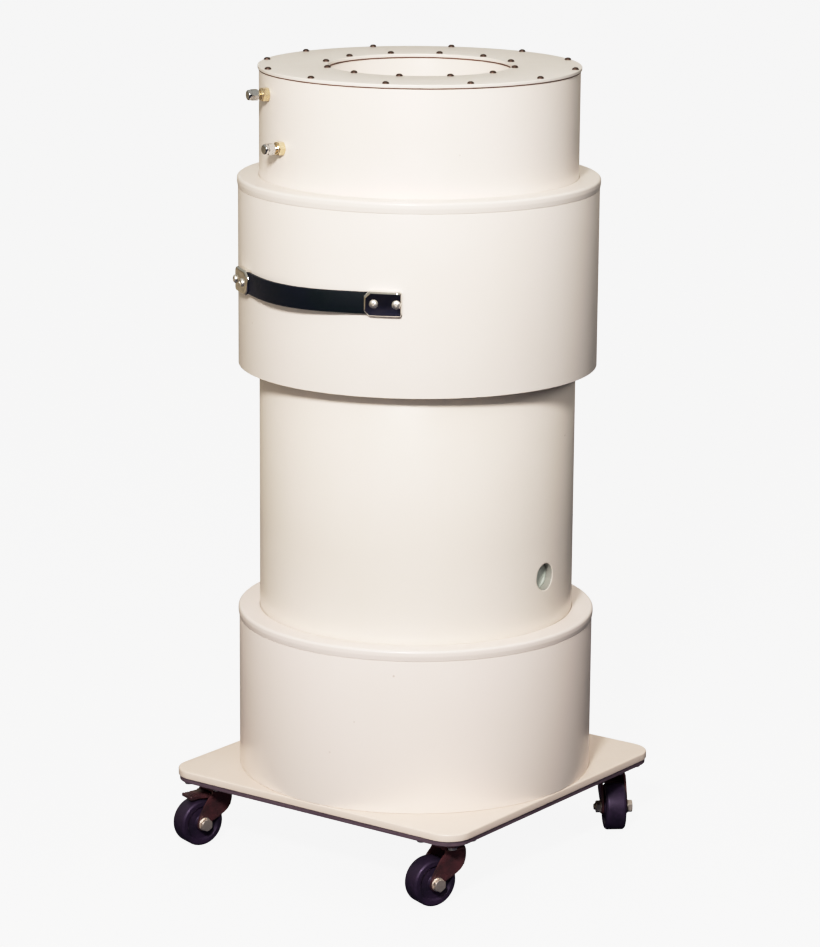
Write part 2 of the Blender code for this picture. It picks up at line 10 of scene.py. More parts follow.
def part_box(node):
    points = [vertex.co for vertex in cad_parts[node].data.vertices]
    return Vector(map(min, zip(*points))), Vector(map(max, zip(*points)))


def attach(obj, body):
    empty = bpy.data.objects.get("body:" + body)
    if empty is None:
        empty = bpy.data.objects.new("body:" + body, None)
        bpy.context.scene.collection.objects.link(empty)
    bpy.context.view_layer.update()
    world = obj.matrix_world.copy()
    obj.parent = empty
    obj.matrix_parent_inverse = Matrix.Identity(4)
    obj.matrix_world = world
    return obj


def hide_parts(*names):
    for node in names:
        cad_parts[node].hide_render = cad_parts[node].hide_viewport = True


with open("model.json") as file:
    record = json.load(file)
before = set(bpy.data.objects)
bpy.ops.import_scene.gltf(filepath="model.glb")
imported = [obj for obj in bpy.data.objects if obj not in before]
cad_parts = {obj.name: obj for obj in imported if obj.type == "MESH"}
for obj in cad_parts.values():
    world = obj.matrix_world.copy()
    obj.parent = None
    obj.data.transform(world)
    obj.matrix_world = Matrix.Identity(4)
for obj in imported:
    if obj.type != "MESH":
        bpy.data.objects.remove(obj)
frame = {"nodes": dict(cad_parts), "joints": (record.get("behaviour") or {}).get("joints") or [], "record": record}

scene = bpy.context.scene
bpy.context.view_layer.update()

BODIES = frame["record"]["behaviour"]["bodies"]
BODY_OF = {node: body for body, nodes in BODIES.items() for node in nodes}
SLOT_OF = {part["node"]: part["material_slot"] for part in frame["record"]["subparts"]}
JOINTS = {joint["name"]: joint for joint in frame["joints"]}


def assign(thing, **values):
    """Set several attributes and return the thing."""
    for key, value in values.items():
        setattr(thing, key, value)
    return thing


# ---- procedural materials ----
class Paint:
    """A Principled material with a few short ways to add texture nodes.

    Coordinates are the piece's own, in metres, so scales are per metre."""

    def __init__(self, name, **sockets):
        self.material = bpy.data.materials.new(name)
        self.material.use_nodes = True
        self.tree = self.material.node_tree
        self.shader = self.tree.nodes["Principled BSDF"]
        for socket, value in sockets.items():
            self.feed(self.shader.inputs[socket.replace("_", " ")], value)
        self.place = self.add("ShaderNodeTexCoord", output="Object")

    def feed(self, socket, value):
        """Link the socket to another node's output, or set it to a constant."""
        if isinstance(value, bpy.types.NodeSocket):
            self.tree.links.new(value, socket)
        else:
            socket.default_value = value

    def add(self, kind, inputs=(), output=0, **settings):
        """A new node, of which one output is returned."""
        node = assign(self.tree.nodes.new(kind), **settings)
        for socket, value in dict(inputs).items():
            self.feed(node.inputs[socket], value)
        return node.outputs[output]

    def mapped(self, stretch):
        if stretch is None:
            return self.place
        return self.add("ShaderNodeMapping", {"Scale": stretch, "Vector": self.place})

    def noise(self, scale, detail=3.0, roughness=0.5, stretch=None):
        inputs = {"Scale": scale, "Detail": detail, "Roughness": roughness,
                  "Vector": self.mapped(stretch)}
        return self.add("ShaderNodeTexNoise", inputs, "Fac")

    def voronoi(self, scale, feature="F1", output="Distance", stretch=None):
        return self.add("ShaderNodeTexVoronoi", {"Scale": scale, "Vector": self.mapped(stretch)},
                        output, feature=feature)

    def axis(self, name):
        """The piece's own X, Y or Z."""
        return self.add("ShaderNodeSeparateXYZ", {"Vector": self.place}, name)

    def in_port(self, height, radius):
        """1 inside a round port that opens towards +X at this height, 0 elsewhere."""
        x, y, z = (self.axis(name) for name in "XYZ")
        up = self.maths("SUBTRACT", z, height)
        across = self.maths("ADD", self.maths("MULTIPLY", y, y), self.maths("MULTIPLY", up, up))
        near = self.maths("LESS_THAN", across, radius ** 2)
        return self.maths("MULTIPLY", near, self.maths("GREATER_THAN", x, 0.0))

    def spread(self, value, low, high, to_low=0.0, to_high=1.0):
        inputs = {"Value": value, "From Min": low, "From Max": high, "To Min": to_low,
                  "To Max": to_high}
        return self.add("ShaderNodeMapRange", inputs, "Result")

    def maths(self, operation, first, second):
        return self.add("ShaderNodeMath", {0: first, 1: second}, operation=operation)

    def mix(self, share, first, second):
        """Blend two colours; each is a triple or a socket, share is a socket."""
        first, second = ((*c, 1.0) if isinstance(c, tuple) else c for c in (first, second))
        return self.add("ShaderNodeMix", {"Factor": share, 6: first, 7: second}, 2,
                        data_type="RGBA")

    def stain(self, colour, tint, noise, *limits):
        """Lay a tint over a colour where this noise passes the limits."""
        return self.mix(self.spread(self.noise(*noise), *limits), colour, tint)

    def bump(self, height, strength, distance, after=None):
        inputs = {"Strength": strength, "Distance": distance, "Height": height}
        if after:
            inputs["Normal"] = after
        return self.add("ShaderNodeBump", inputs)

    def done(self, colour=None, roughness=None, normal=None):
        for name, source in (("Base Color", colour), ("Roughness", roughness), ("Normal", normal)):
            if source:
                self.feed(self.shader.inputs[name], source)
        return self.material


# Grey of the port's bore: bare PVC, darkened further as painted shade inside the hole.
BORE_BARE_AND_SHADE = (0.3, 0.29, 0.255)


def pvc_look(name, light, shade, gloss=(0.3, 0.4), low_tint=None, port=None):
    """Painted rigid PVC: soft mottling, faint streaks, rare specks, light orange peel.

    low_tint is the colour near the floor; port is the height and radius of a port towards +X, whose bore is bare
    PVC grey, darkened further as painted shade inside the hole."""
    paint = Paint(name, Coat_Weight=0.14, Coat_Roughness=0.18, Specular_IOR_Level=0.4)
    colour = paint.stain(shade, light, (7.0, 4.0, 0.55), 0.32, 0.68)
    colour = paint.stain(colour, shade, (34.0, 3.0, 0.5, (1.0, 1.0, 0.06)), 0.56, 0.8, 0.0, 0.35)
    colour = paint.stain(colour, tuple(0.93 * c for c in light),
                         (520.0, 2.0), 0.35, 0.7, 0.0, 0.22)
    specks = paint.spread(paint.voronoi(19.0), 0.03, 0.018, 0.0, 0.55)
    colour = paint.mix(specks, colour, (0.28, 0.17, 0.1))
    if low_tint:
        colour = paint.mix(paint.spread(paint.axis("Z"), 0.3, 0.08), colour, low_tint)
    if port:
        # painted shade: the bore takes a dark grey, partly bare PVC and partly shade inside the port
        colour = paint.mix(paint.in_port(*port), colour, BORE_BARE_AND_SHADE)
    roughness = paint.spread(paint.noise(46.0, 3.0), 0.3, 0.7, *gloss)
    peel = paint.bump(paint.noise(240.0, 2.0), 0.05, 0.0006)
    grain = paint.bump(paint.noise(1500.0, 1.0), 0.05, 0.0002, peel)
    return paint.done(colour, roughness, grain)


def board_look(name, dark, light):
    """Stained plywood edge: long grain, darker plies."""
    paint = Paint(name, Coat_Weight=0.15, Coat_Roughness=0.3)
    grain = paint.noise(60.0, 5.0, 0.65, (0.25, 0.25, 9.0))
    fibre = paint.noise(900.0, 3.0, 0.6, (0.15, 0.15, 1.0))
    colour = paint.mix(paint.spread(grain, 0.3, 0.72), dark, light)
    colour = paint.mix(paint.spread(fibre, 0.45, 0.75, 0.0, 0.5), colour,
                       tuple(0.5 * c for c in dark))
    roughness = paint.spread(grain, 0.3, 0.7, 0.42, 0.66)
    return paint.done(colour, roughness, paint.bump(fibre, 0.25, 0.0003))


def rubber_look(name, base, dusty, rough, grain=900.0, depth=0.0003, shine=(1.0, 1.0, 1.0)):
    """Rubber or moulded plastic: a cloud of dust, worn spots, fine grain."""
    paint = Paint(name, Specular_IOR_Level=0.4, Specular_Tint=(*shine, 1.0))
    colour = paint.stain(base, dusty, (38.0, 4.0, 0.6), 0.38, 0.75)
    colour = paint.stain(colour, tuple(1.8 * c for c in dusty),
                         (310.0, 3.0, 0.7), 0.58, 0.78, 0.0, 0.5)
    roughness = paint.spread(paint.noise(120.0, 3.0), 0.3, 0.7, *rough)
    return paint.done(colour, roughness, paint.bump(paint.noise(grain, 3.0), 0.3, depth))


def strap_look(name):
    """Black moulded strap: leather grain, a little blue in the sheen."""
    paint = Paint(name, Sheen_Weight=0.03, Sheen_Roughness=0.35, Sheen_Tint=(0.45, 0.4, 0.95, 1.0),
                  Specular_IOR_Level=0.12)
    colour = paint.stain((0.0014, 0.005, 0.006), (0.003, 0.005, 0.0115), (26.0, 3.0), 0.35, 0.7)
    creases = paint.voronoi(950.0, "DISTANCE_TO_EDGE")
    pores = paint.spread(creases, 0.0, 0.16)
    colour = paint.mix(pores, (0.003, 0.0035, 0.006), colour)
    roughness = paint.spread(paint.noise(210.0, 2.0), 0.3, 0.7, 0.36, 0.5)
    wide = paint.bump(pores, 0.35, 0.00025)
    return paint.done(colour, roughness, paint.bump(paint.noise(90.0, 2.0), 0.12, 0.001, wide))


def metal_look(name, bright, dull, rough, tarnish=0.35):
    """Plated or turned metal: smudges, fine turning marks, dull patches."""
    paint = Paint(name, Metallic=1.0)
    smudge = paint.spread(paint.noise(85.0, 4.0, 0.6), 0.42, 0.78, 0.0, tarnish)
    colour = paint.mix(smudge, bright, dull)
    marks = paint.noise(1100.0, 2.0)
    colour = paint.stain(colour, tuple(0.55 * c for c in dull), (420.0, 2.0), 0.66, 0.76, 0.0, 0.4)
    roughness = paint.maths("ADD", paint.spread(marks, 0.3, 0.7, *rough),
                            paint.maths("MULTIPLY", smudge, 0.25))
    return paint.done(colour, roughness, paint.bump(marks, 0.06, 0.0001))


def enamel_look(name):
    """Black-brown enamel on pressed steel, with a red cast and a few chips."""
    paint = Paint(name, Coat_Weight=0.2, Coat_Roughness=0.25, Coat_Tint=(1.0, 0.7, 0.72, 1.0),
                  Specular_IOR_Level=0.45, Specular_Tint=(1.0, 0.5, 0.55, 1.0))
    colour = paint.stain((0.03, 0.016, 0.018), (0.085, 0.026, 0.03), (55.0, 4.0, 0.6), 0.36, 0.72)
    colour = paint.stain(colour, (0.22, 0.15, 0.13), (640.0, 3.0, 0.6), 0.7, 0.74, 0.0, 0.85)
    roughness = paint.spread(paint.noise(150.0, 3.0), 0.3, 0.7, 0.24, 0.42)
    return paint.done(colour, roughness, paint.bump(paint.noise(330.0, 2.0), 0.12, 0.0004))


def paper_look(name):
    """Filter paper: fibres and a faint yellowing."""
    paint = Paint(name, Specular_IOR_Level=0.2)
    fibres = paint.noise(1300.0, 4.0, 0.7, (1.0, 1.0, 0.3))
    colour = paint.stain((0.7, 0.65, 0.5), (0.8, 0.76, 0.63), (30.0, 3.0), 0.3, 0.7)
    colour = paint.mix(paint.spread(fibres, 0.52, 0.72, 0.0, 0.5), colour, (0.56, 0.5, 0.37))
    roughness = paint.spread(fibres, 0.3, 0.7, 0.82, 0.96)
    return paint.done(colour, roughness, paint.bump(fibres, 0.4, 0.0003))


def galvanised_look(name):
    """Galvanised sheet: spangle under a film of dust."""
    paint = Paint(name, Metallic=1.0)
    spangle = paint.voronoi(70.0, output="Color", stretch=(1.0, 1.0, 0.8))
    flakes = paint.add("ShaderNodeRGBToBW", {"Color": spangle})
    colour = paint.mix(flakes, (0.42, 0.44, 0.46), (0.62, 0.63, 0.64))
    colour = paint.stain(colour, (0.46, 0.4, 0.31), (24.0, 4.0, 0.6), 0.5, 0.78, 0.0, 0.5)
    roughness = paint.spread(flakes, 0.0, 1.0, 0.3, 0.48)
    return paint.done(colour, roughness, paint.bump(paint.noise(190.0, 2.0), 0.08, 0.0005))


LOOKS = {name: maker(f"{name}_fine", *values) for name, maker, *values in (
    ("white_pvc", pvc_look, (0.86, 0.77, 0.698), (0.83, 0.74, 0.658)),
    ("cover_pvc", pvc_look, (0.8, 0.73, 0.66), (0.77, 0.7, 0.63), (0.38, 0.48)),
    ("dark_board", board_look, (0.07, 0.042, 0.06), (0.145, 0.092, 0.115)),
    ("red_rubber", rubber_look, (0.11, 0.045, 0.026), (0.16, 0.068, 0.04), (0.6, 0.8)),
    ("black_strap", strap_look),
    ("chrome", metal_look, (0.84, 0.81, 0.76), (0.62, 0.57, 0.46), (0.04, 0.09), 0.18),
    ("brass", metal_look, (0.84, 0.7, 0.47), (0.6, 0.44, 0.26), (0.18, 0.28)),
    ("zinc", metal_look, (0.9, 0.86, 0.8), (0.72, 0.58, 0.44), (0.32, 0.46)),
    ("fork_steel", enamel_look),
    ("wheel_rubber", rubber_look, (0.009, 0.0065, 0.0135), (0.023, 0.012, 0.031), (0.36, 0.55),
     900.0, 0.0003, (0.85, 0.62, 1.0)),
    ("filter_paper", paper_look),
    ("filter_cap", rubber_look, (0.06, 0.06, 0.066), (0.105, 0.102, 0.098), (0.48, 0.62), 1400.0),
    ("pail_steel", galvanised_look),
    ("foam_seal", rubber_look, (0.03, 0.03, 0.032), (0.06, 0.058, 0.055), (0.85, 0.97), 1700.0,
     0.0008),
)}
DRUM_LOOK = pvc_look("drum_pvc_fine", (0.86, 0.755, 0.695), (0.83, 0.72, 0.65),
                     low_tint=(0.85, 0.735, 0.655))
DECK_LOOK = pvc_look("deck_pvc_fine", (0.78, 0.65, 0.56), (0.75, 0.615, 0.52))
PLUG_LOOK = pvc_look("plug_pvc_fine", (0.62, 0.66, 0.59), (0.55, 0.59, 0.52))
DARK_SCREW = metal_look("dark_screw_fine", (0.1, 0.062, 0.048), (0.06, 0.034, 0.026), (0.34, 0.5))
BOLT_LOOK = metal_look("axle_bolt_fine", (0.96, 0.84, 0.74), (0.8, 0.62, 0.5), (0.44, 0.58))
GREY_END = metal_look("fitting_end_fine", (0.6, 0.6, 0.6), (0.42, 0.41, 0.4), (0.12, 0.22))

for node, obj in frame["nodes"].items():
    for place in obj.material_slots:
        place.material = LOOKS[SLOT_OF[node]]


# ---- building blocks ----
SMOOTH = 192                 # steps round a large tube


def turn_of(k, steps):
    return 2.0 * pi * k / steps


def quarter(steps, first=0):
    """Angles up to 90 degrees."""
    return [0.5 * pi * k / steps for k in range(first, steps + 1)]


def around(radius, angle, height):
    """The point at this radius, angle and height about Z."""
    return radius * cos(angle), radius * sin(angle), height


def index_rows(rows, count, first=0):
    """Vertex numbers of rows of count vertices each."""
    return [range(first + r * count, first + (r + 1) * count) for r in range(rows)]


def quads(rows, closed=True):
    """Faces between neighbouring rows of vertices."""
    faces = []
    for low, high in zip(rows, rows[1:]):
        for k in range(len(low) if closed else len(low) - 1):
            n = (k + 1) % len(low)
            faces.append((low[k], low[n], high[n], high[k]))
    return faces


def skin(rows):
    """Faces between the rows, and one over each end."""
    return quads(rows) + [tuple(rows[0]), tuple(rows[-1])]


def shade(mesh, sharp):
    mesh.shade_smooth()
    mesh.set_sharp_from_angle(angle=radians(sharp))
    return mesh


def mesh_of(work):
    mesh = bpy.data.meshes.new("fine")
    work.to_mesh(mesh)
    work.free()
    return mesh


def finish_mesh(verts, faces, sharp=38.0):
    mesh = bpy.data.meshes.new("fine")
    mesh.from_pydata(verts, [], faces)
    work = bmesh.new()
    work.from_mesh(mesh)
    bmesh.ops.recalc_face_normals(work, faces=work.faces)
    work.to_mesh(mesh)
    work.free()
    return shade(mesh, sharp)


def add_object(name, data):
    obj = bpy.data.objects.new(name, data)
    scene.collection.objects.link(obj)
    return obj


def add_piece(name, mesh, look, place=None):
    obj = add_object(name, mesh)
    mesh.name = name
    mesh.materials.clear()
    mesh.materials.append(look)
    if place is not None:
        obj.matrix_world = place
    return obj


def fine(node, mesh, look=None, place=None):
    """Put this mesh in the place of one CAD node, on that node's body."""
    obj = add_piece(f"{node}_fine", mesh, look or LOOKS[SLOT_OF[node]], place)
    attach(obj, BODY_OF[node])
    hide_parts(node)
    return obj


def extra(obj, body):
    """A small piece that has no CAD node of its own."""
    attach(obj, body)


def fillet(points, radii, steps=4):
    """Round the corners of a closed outline. radii is one number or one per point."""
    if not isinstance(radii, (list, tuple)):
        radii = [radii] * len(points)
    out = []
    for i, (point, radius) in enumerate(zip(points, radii)):
        here = Vector(point)
        before = Vector(points[i - 1]) - here
        after = Vector(points[(i + 1) % len(points)]) - here
        plain = radius <= 0.0 or before.length < 1e-9 or after.length < 1e-9
        half = 0.0 if plain else before.angle(after) / 2.0
        if plain or half > radians(88.0):
            out.append(tuple(here))
            continue
        cut = min(radius / tan(half), 0.49 * before.length, 0.49 * after.length)
        start = here + before.normalized() * cut
        end = here + after.normalized() * cut
        middle = (before.normalized() + after.normalized()).normalized()
        centre = here + middle * (cut / cos(half))
        first = atan2(start.y - centre.y, start.x - centre.x)
        sweep = atan2(end.y - centre.y, end.x - centre.x) - first
        sweep = (sweep + pi) % (2.0 * pi) - pi
        reach = (start - centre).length
        for k in range(steps + 1):
            angle = first + sweep * k / steps
            out.append((centre.x + reach * cos(angle), centre.y + reach * sin(angle)))
    return out


def turned_mesh(outline, steps=SMOOTH, sharp=38.0):
    """Turn a closed outline of (radius, height) about Z."""
    verts, faces, rows = [], [], []
    for radius, height in outline:
        if radius < 1e-7:
            rows.append([len(verts)])
            verts.append((0.0, 0.0, height))
            continue
        rows.append(list(range(len(verts), len(verts) + steps)))
        verts += [around(radius, turn_of(k, steps), height) for k in range(steps)]
    for low, high in zip(rows, rows[1:] + rows[:1]):
        if len(low) == 1 and len(high) == 1:
            continue
        for k in range(steps):
            n = (k + 1) % steps
            if len(low) == 1:
                faces.append((low[0], high[k], high[n]))
            elif len(high) == 1:
                faces.append((low[k], high[0], low[n]))
            else:
                faces.append((low[k], high[k], high[n], low[n]))
    return finish_mesh(verts, faces, sharp)


def smooth_tube(node, inner, edge=0.0008, look=None):
    """A round, smooth copy of a CAD tube, with broken edges."""
    low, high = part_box(node)
    outline = [(high.x, low.z), (high.x, high.z), (inner, high.z), (inner, low.z)]
    fine(node, turned_mesh(fillet(outline, edge)), look)


def disc_outline(radius, low, high, low_edge, high_edge, steps=4):
    return fillet([(0.0, low), (radius, low), (radius, high), (0.0, high)],
                  [0.0, low_edge, high_edge, 0.0], steps)


def inset(loop, distance):
    """Move every point of a closed anticlockwise loop inwards."""
    out = []
    for i, point in enumerate(loop):
        here = Vector(point)
        before = (here - Vector(loop[i - 1])).normalized()
        after = (Vector(loop[(i + 1) % len(loop)]) - here).normalized()
        normal = Vector((-before.y - after.y, before.x + after.x))
        if normal.length < 1e-9:
            normal = Vector((-before.y, before.x))
        normal.normalize()
        share = max(0.4, normal.dot(Vector((-before.y, before.x))))
        out.append(tuple(here + normal * (distance / share)))
    return out


def slab_mesh(loop, low, high, top_edge, low_edge, steps=4, sharp=38.0):
    """A flat plate from an anticlockwise outline, with rounded rims."""
    rings = [(low_edge * (1.0 - sin(angle)), low + low_edge * (1.0 - cos(angle)))
             for angle in quarter(steps)]
    rings += [(top_edge * (1.0 - cos(angle)), high - top_edge * (1.0 - sin(angle)))
              for angle in quarter(steps)]
    verts = []
    for distance, height in rings:
        verts += [(x, y, height) for x, y in (inset(loop, distance) if distance > 1e-9 else loop)]
    return finish_mesh(verts, skin(index_rows(len(rings), len(loop))), sharp)


def rounded_plate(half_x, half_y, corner, steps):
    return fillet([(half_x, half_y), (-half_x, half_y), (-half_x, -half_y), (half_x, -half_y)],
                  corner, steps)


def join_meshes(*parts):
    """One mesh from several. A part is a mesh, or a mesh and its matrix."""
    work = bmesh.new()
    for part in parts:
        mesh, place = part if isinstance(part, tuple) else (part, Matrix.Identity(4))
        moved = mesh.copy()
        moved.transform(place)
        work.from_mesh(moved)
        bpy.data.meshes.remove(moved)
    return mesh_of(work)


def carve(mesh, cutter, sharp=38.0):
    """Cut one mesh out of another and return the result."""
    body, tool = add_object("carved", mesh), add_object("tool", cutter)
    assign(body.modifiers.new("cut", "BOOLEAN"), operation="DIFFERENCE", solver="EXACT",
           object=tool)
    bpy.context.view_layer.update()
    graph = bpy.context.evaluated_depsgraph_get()
    result = bpy.data.meshes.new_from_object(body.evaluated_get(graph))
    for obj in (body, tool):
        bpy.data.objects.remove(obj)
    return shade(result, sharp)


HEX_CHAMFER = (0.0, 0.35, 0.7, 1.0)      # from the round rim out to the full hexagon


def hex_mesh(radius, low, high, chamfer_low=True, chamfer_high=True, bore=0.0, steps=48):
    """A hexagon with the round chamfers of a turned nut or bolt head."""
    flat = radius * cos(radians(30.0))
    rim = flat * 0.985
    cone = tan(radians(30.0))
    verts, rows = [], []

    def reach(angle):
        return flat / cos((angle + pi / 6.0) % (pi / 3.0) - pi / 6.0)

    def add_row(radial, height):
        rows.append(list(range(len(verts), len(verts) + steps)))
        for k in range(steps):
            angle = turn_of(k, steps)
            verts.append(around(radial(angle), angle, height(angle)))

    def chamfer(share, end, sign):
        def limit(angle):
            return rim + (reach(angle) - rim) * share
        add_row(limit, lambda angle: end + sign * (limit(angle) - rim) * cone)

    if chamfer_low:
        for share in HEX_CHAMFER:
            chamfer(share, low, 1.0)
    else:
        add_row(reach, lambda angle: low)
    if chamfer_high:
        for share in reversed(HEX_CHAMFER):
            chamfer(share, high, -1.0)
    else:
        add_row(reach, lambda angle: high)
    if bore > 0.0:
        faces = quads(rows)
        bottom, top = rows[0], rows[-1]
        add_row(lambda angle: bore, lambda angle: low)
        add_row(lambda angle: bore, lambda angle: high)
        faces += quads([bottom, rows[-2], rows[-1], top])
    else:
        faces = skin(rows)
    return finish_mesh(verts, faces, 25.0)


def radial(azimuth, distance, height):
    """A matrix whose +Z points outwards from the axis at this azimuth."""
    return (Matrix.Rotation(radians(azimuth), 4, "Z")
            @ Matrix.Translation((distance, 0.0, height))
            @ Matrix.Rotation(radians(90.0), 4, "Y"))


def pan_head_mesh(radius, tall, shank=0.0, shank_length=0.0):
    """Pan-head screw with a cross recess. The underside of the head is at Z 0."""
    outline = [(0.0, tall), (radius * 0.45, tall * 0.97), (radius * 0.8, tall * 0.72),
               (radius * 0.97, tall * 0.34), (radius, 0.0002), (radius * 0.96, 0.0)]
    if shank > 0.0:
        outline += [(shank, 0.0), (shank, -shank_length), (shank * 0.4, -shank_length - shank),
                    (0.0, -shank_length - shank * 1.2)]
    else:
        outline += [(0.0, 0.0)]
    arm, half = radius * 0.56, radius * 0.13
    cross = [(arm, -half), (arm, half), (half, half)]
    while len(cross) < 12:
        cross += [(-y, x) for x, y in cross[-3:]]
    verts = [(x * 0.45, y * 0.45, tall * 0.3) for x, y in cross]
    verts += [(x, y, tall * 1.2) for x, y in cross]
    rows = index_rows(2, 12)
    cutter = finish_mesh(verts, [tuple(rows[0]), tuple(rows[1])] + quads(rows))
    return carve(turned_mesh(outline, 32, 30.0), cutter, 30.0)


# ---- dolly: deck and underplate ----
DECK_CORNER = 0.029
deck_low, deck_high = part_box("deck")
fine("deck", slab_mesh(rounded_plate(deck_high.x, deck_high.x, DECK_CORNER, 14),
                       deck_low.z, deck_high.z, 0.0016, 0.0008), DECK_LOOK)
board_low, board_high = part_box("deck_underplate")
board_corner = DECK_CORNER - (deck_high.x - board_high.x)
fine("deck_underplate", slab_mesh(rounded_plate(board_high.x, board_high.x, board_corner, 14),
                                  board_low.z, board_high.z, 0.0004, 0.001))


# ---- base drum, rings, tubes ----
SHELL_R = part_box("collar_sleeve")[1].x
SHELL_WALL = 0.01
TUBE_WALL = 0.0111
TUBE_EDGE = 0.0008
tube_low, tube_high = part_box("body_tube")
TUBE_R = tube_high.x
TUBE_BORE = TUBE_R - TUBE_WALL
RING_LIP = 0.0011            # how far a shoulder ring stands out over the wall below it


def shoulder_ring(node, look=None):
    """Flat ring with a generous round on its upper edge."""
    low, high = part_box(node)
    lip, bore = SHELL_R + RING_LIP, TUBE_R + 0.0003
    outline = fillet([(SHELL_R + 0.0001, low.z), (lip, low.z + 0.0055), (lip, high.z),
                      (bore, high.z), (bore, low.z)],
                     [0.0002, 0.008, 0.0044, 0.0006, 0.0004], 8)
    fine(node, turned_mesh(outline), look)


smooth_tube("base_drum", SHELL_R - SHELL_WALL, 0.0002, DRUM_LOOK)
shoulder_ring("drum_shoulder_ring", DRUM_LOOK)
shoulder_ring("collar_shoulder_ring")

plug_low, plug_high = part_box("port_plug")
PORT_Z = (plug_low.z + plug_high.z) / 2.0
PORT_R = 0.015
PORT_LIP = 0.0012
PATCH = 8                    # columns on each side of the port that its patch takes up
BAND = 0.045                # half height of the patch


def port_tube_mesh(outer, inner, low, high):
    """A tube with a round port at azimuth 0, whose surface stays truly round."""
    work = bmesh.new()
    side = 2 * PATCH

    def weave(*rows):
        for face in quads(rows):
            work.faces.new(face)

    def point(radius, column, height):
        return work.verts.new(around(radius, turn_of(column, SMOOTH), height))

    def wall(radius, lip):
        """Returns the lowest and highest rings and the ring round the port."""
        heights = [low + TUBE_EDGE, PORT_Z - BAND]
        heights += [PORT_Z - BAND + 2.0 * BAND * k / side for k in range(1, side + 1)]
        heights += [high - TUBE_EDGE]
        grid = []
        for row, height in enumerate(heights):
            cells = {}
            for column in range(SMOOTH):
                centred = (column + PATCH) % SMOOTH
                hidden = 0 < centred < side and 1 < row < side + 1
                if not hidden:
                    cells[column] = point(radius, column, height)
            grid.append(cells)
        for row in range(len(heights) - 1):
            for column in range(SMOOTH):
                n = (column + 1) % SMOOTH
                corners = [grid[row].get(column), grid[row].get(n), grid[row + 1].get(n),
                           grid[row + 1].get(column)]
                inside = (column + PATCH) % SMOOTH < side and 1 <= row < side + 1
                if None not in corners and not inside:
                    work.faces.new(corners)
        border = [grid[1][(k - PATCH) % SMOOTH] for k in range(side)]
        border += [grid[1 + k][PATCH] for k in range(side)]
        border += [grid[side + 1][(PATCH - k) % SMOOTH] for k in range(side)]
        border += [grid[side + 1 - k][(-PATCH) % SMOOTH] for k in range(side)]
        flat = [(radius * atan2(v.co.y, v.co.x), v.co.z - PORT_Z) for v in border]
        rings = [border]
        for share in (0.35, 0.62, 0.82, 0.94, 1.0):
            ring = []
            for s0, t0 in flat:
                s1, t1, _ = around(lip, atan2(t0, s0), 0.0)
                s, t = s0 + (s1 - s0) * share, t0 + (t1 - t0) * share
                across = radius * sin(s / radius) if share < 1.0 else s1
                depth = sqrt(radius ** 2 - across ** 2)
                ring.append(work.verts.new((depth, across, PORT_Z + t)))
            rings.append(ring)
        weave(*rings)
        return list(grid[0].values()), list(grid[-1].values()), rings[-1]

    outer_low, outer_high, outer_port = wall(outer, PORT_R + PORT_LIP)
    inner_low, inner_high, inner_port = wall(inner, PORT_R)
    rings = [outer_port]
    for angle in quarter(5, 1):
        ring = []
        for vert in outer_port:
            turn = atan2(vert.co.z - PORT_Z, vert.co.y)
            reach = PORT_R + PORT_LIP * (1.0 - sin(angle))
            across = reach * cos(turn)
            depth = sqrt(outer ** 2 - across ** 2) - PORT_LIP * (1.0 - cos(angle))
            ring.append(work.verts.new((depth, across, PORT_Z + reach * sin(turn))))
        rings.append(ring)
    weave(*rings, inner_port)
    for outer_ring, inner_ring, height in ((outer_low, inner_low, low),
                                           (outer_high, inner_high, high)):
        rims = []
        for ring, radius in ((outer_ring, outer - TUBE_EDGE), (inner_ring, inner + TUBE_EDGE)):
            rims.append([point(radius, k, height) for k in range(SMOOTH)])
            weave(ring, rims[-1])
        weave(*rims)
    bmesh.ops.recalc_face_normals(work, faces=work.faces)
    return shade(mesh_of(work), 50.0)


fine("body_tube", port_tube_mesh(TUBE_R, TUBE_BORE, tube_low.z, tube_high.z),
     pvc_look("tube_pvc_fine", (0.85, 0.755, 0.67), (0.82, 0.725, 0.63),
              port=(PORT_Z, PORT_R + 0.0003)))
plug_r, plug_thick = plug_high.y, plug_high.x - plug_low.x
plug = fillet([(0.0, 0.0), (plug_r, 0.0), (plug_r, plug_thick), (plug_r - 0.003, plug_thick),
               (plug_r - 0.0036, plug_thick - 0.0006), (0.0, plug_thick - 0.0006)],
              [0.0, 0.0004, 0.0006, 0.0003, 0.0003, 0.0])
fine("port_plug", turned_mesh(plug, 96), PLUG_LOOK, radial(0.0, plug_low.x, PORT_Z))

OPENING_R = 0.1013
SEAT_R = 0.1523
throat_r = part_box("throat_tube")[1].x
for tube, inner, edge in (("neck_tube", TUBE_BORE, 0.0008),
                          ("collar_sleeve", SHELL_R - SHELL_WALL, 0.0002),
                          ("throat_tube", OPENING_R, 0.0008),
                          ("header_floor", throat_r + 0.0003, 0.0005),
                          ("filter_seat_ring", SEAT_R, 0.001),
                          ("head_seal", TUBE_BORE + 0.001, 0.0006),
                          ("filter_seal", OPENING_R + 0.001, 0.0006),
                          ("cover_plate", OPENING_R, 0.0007),
                          ("cover_gasket_outer", TUBE_BORE, 0.0003),
                          ("cover_gasket_inner", OPENING_R - 0.0006, 0.0003)):
    smooth_tube(tube, inner, edge)


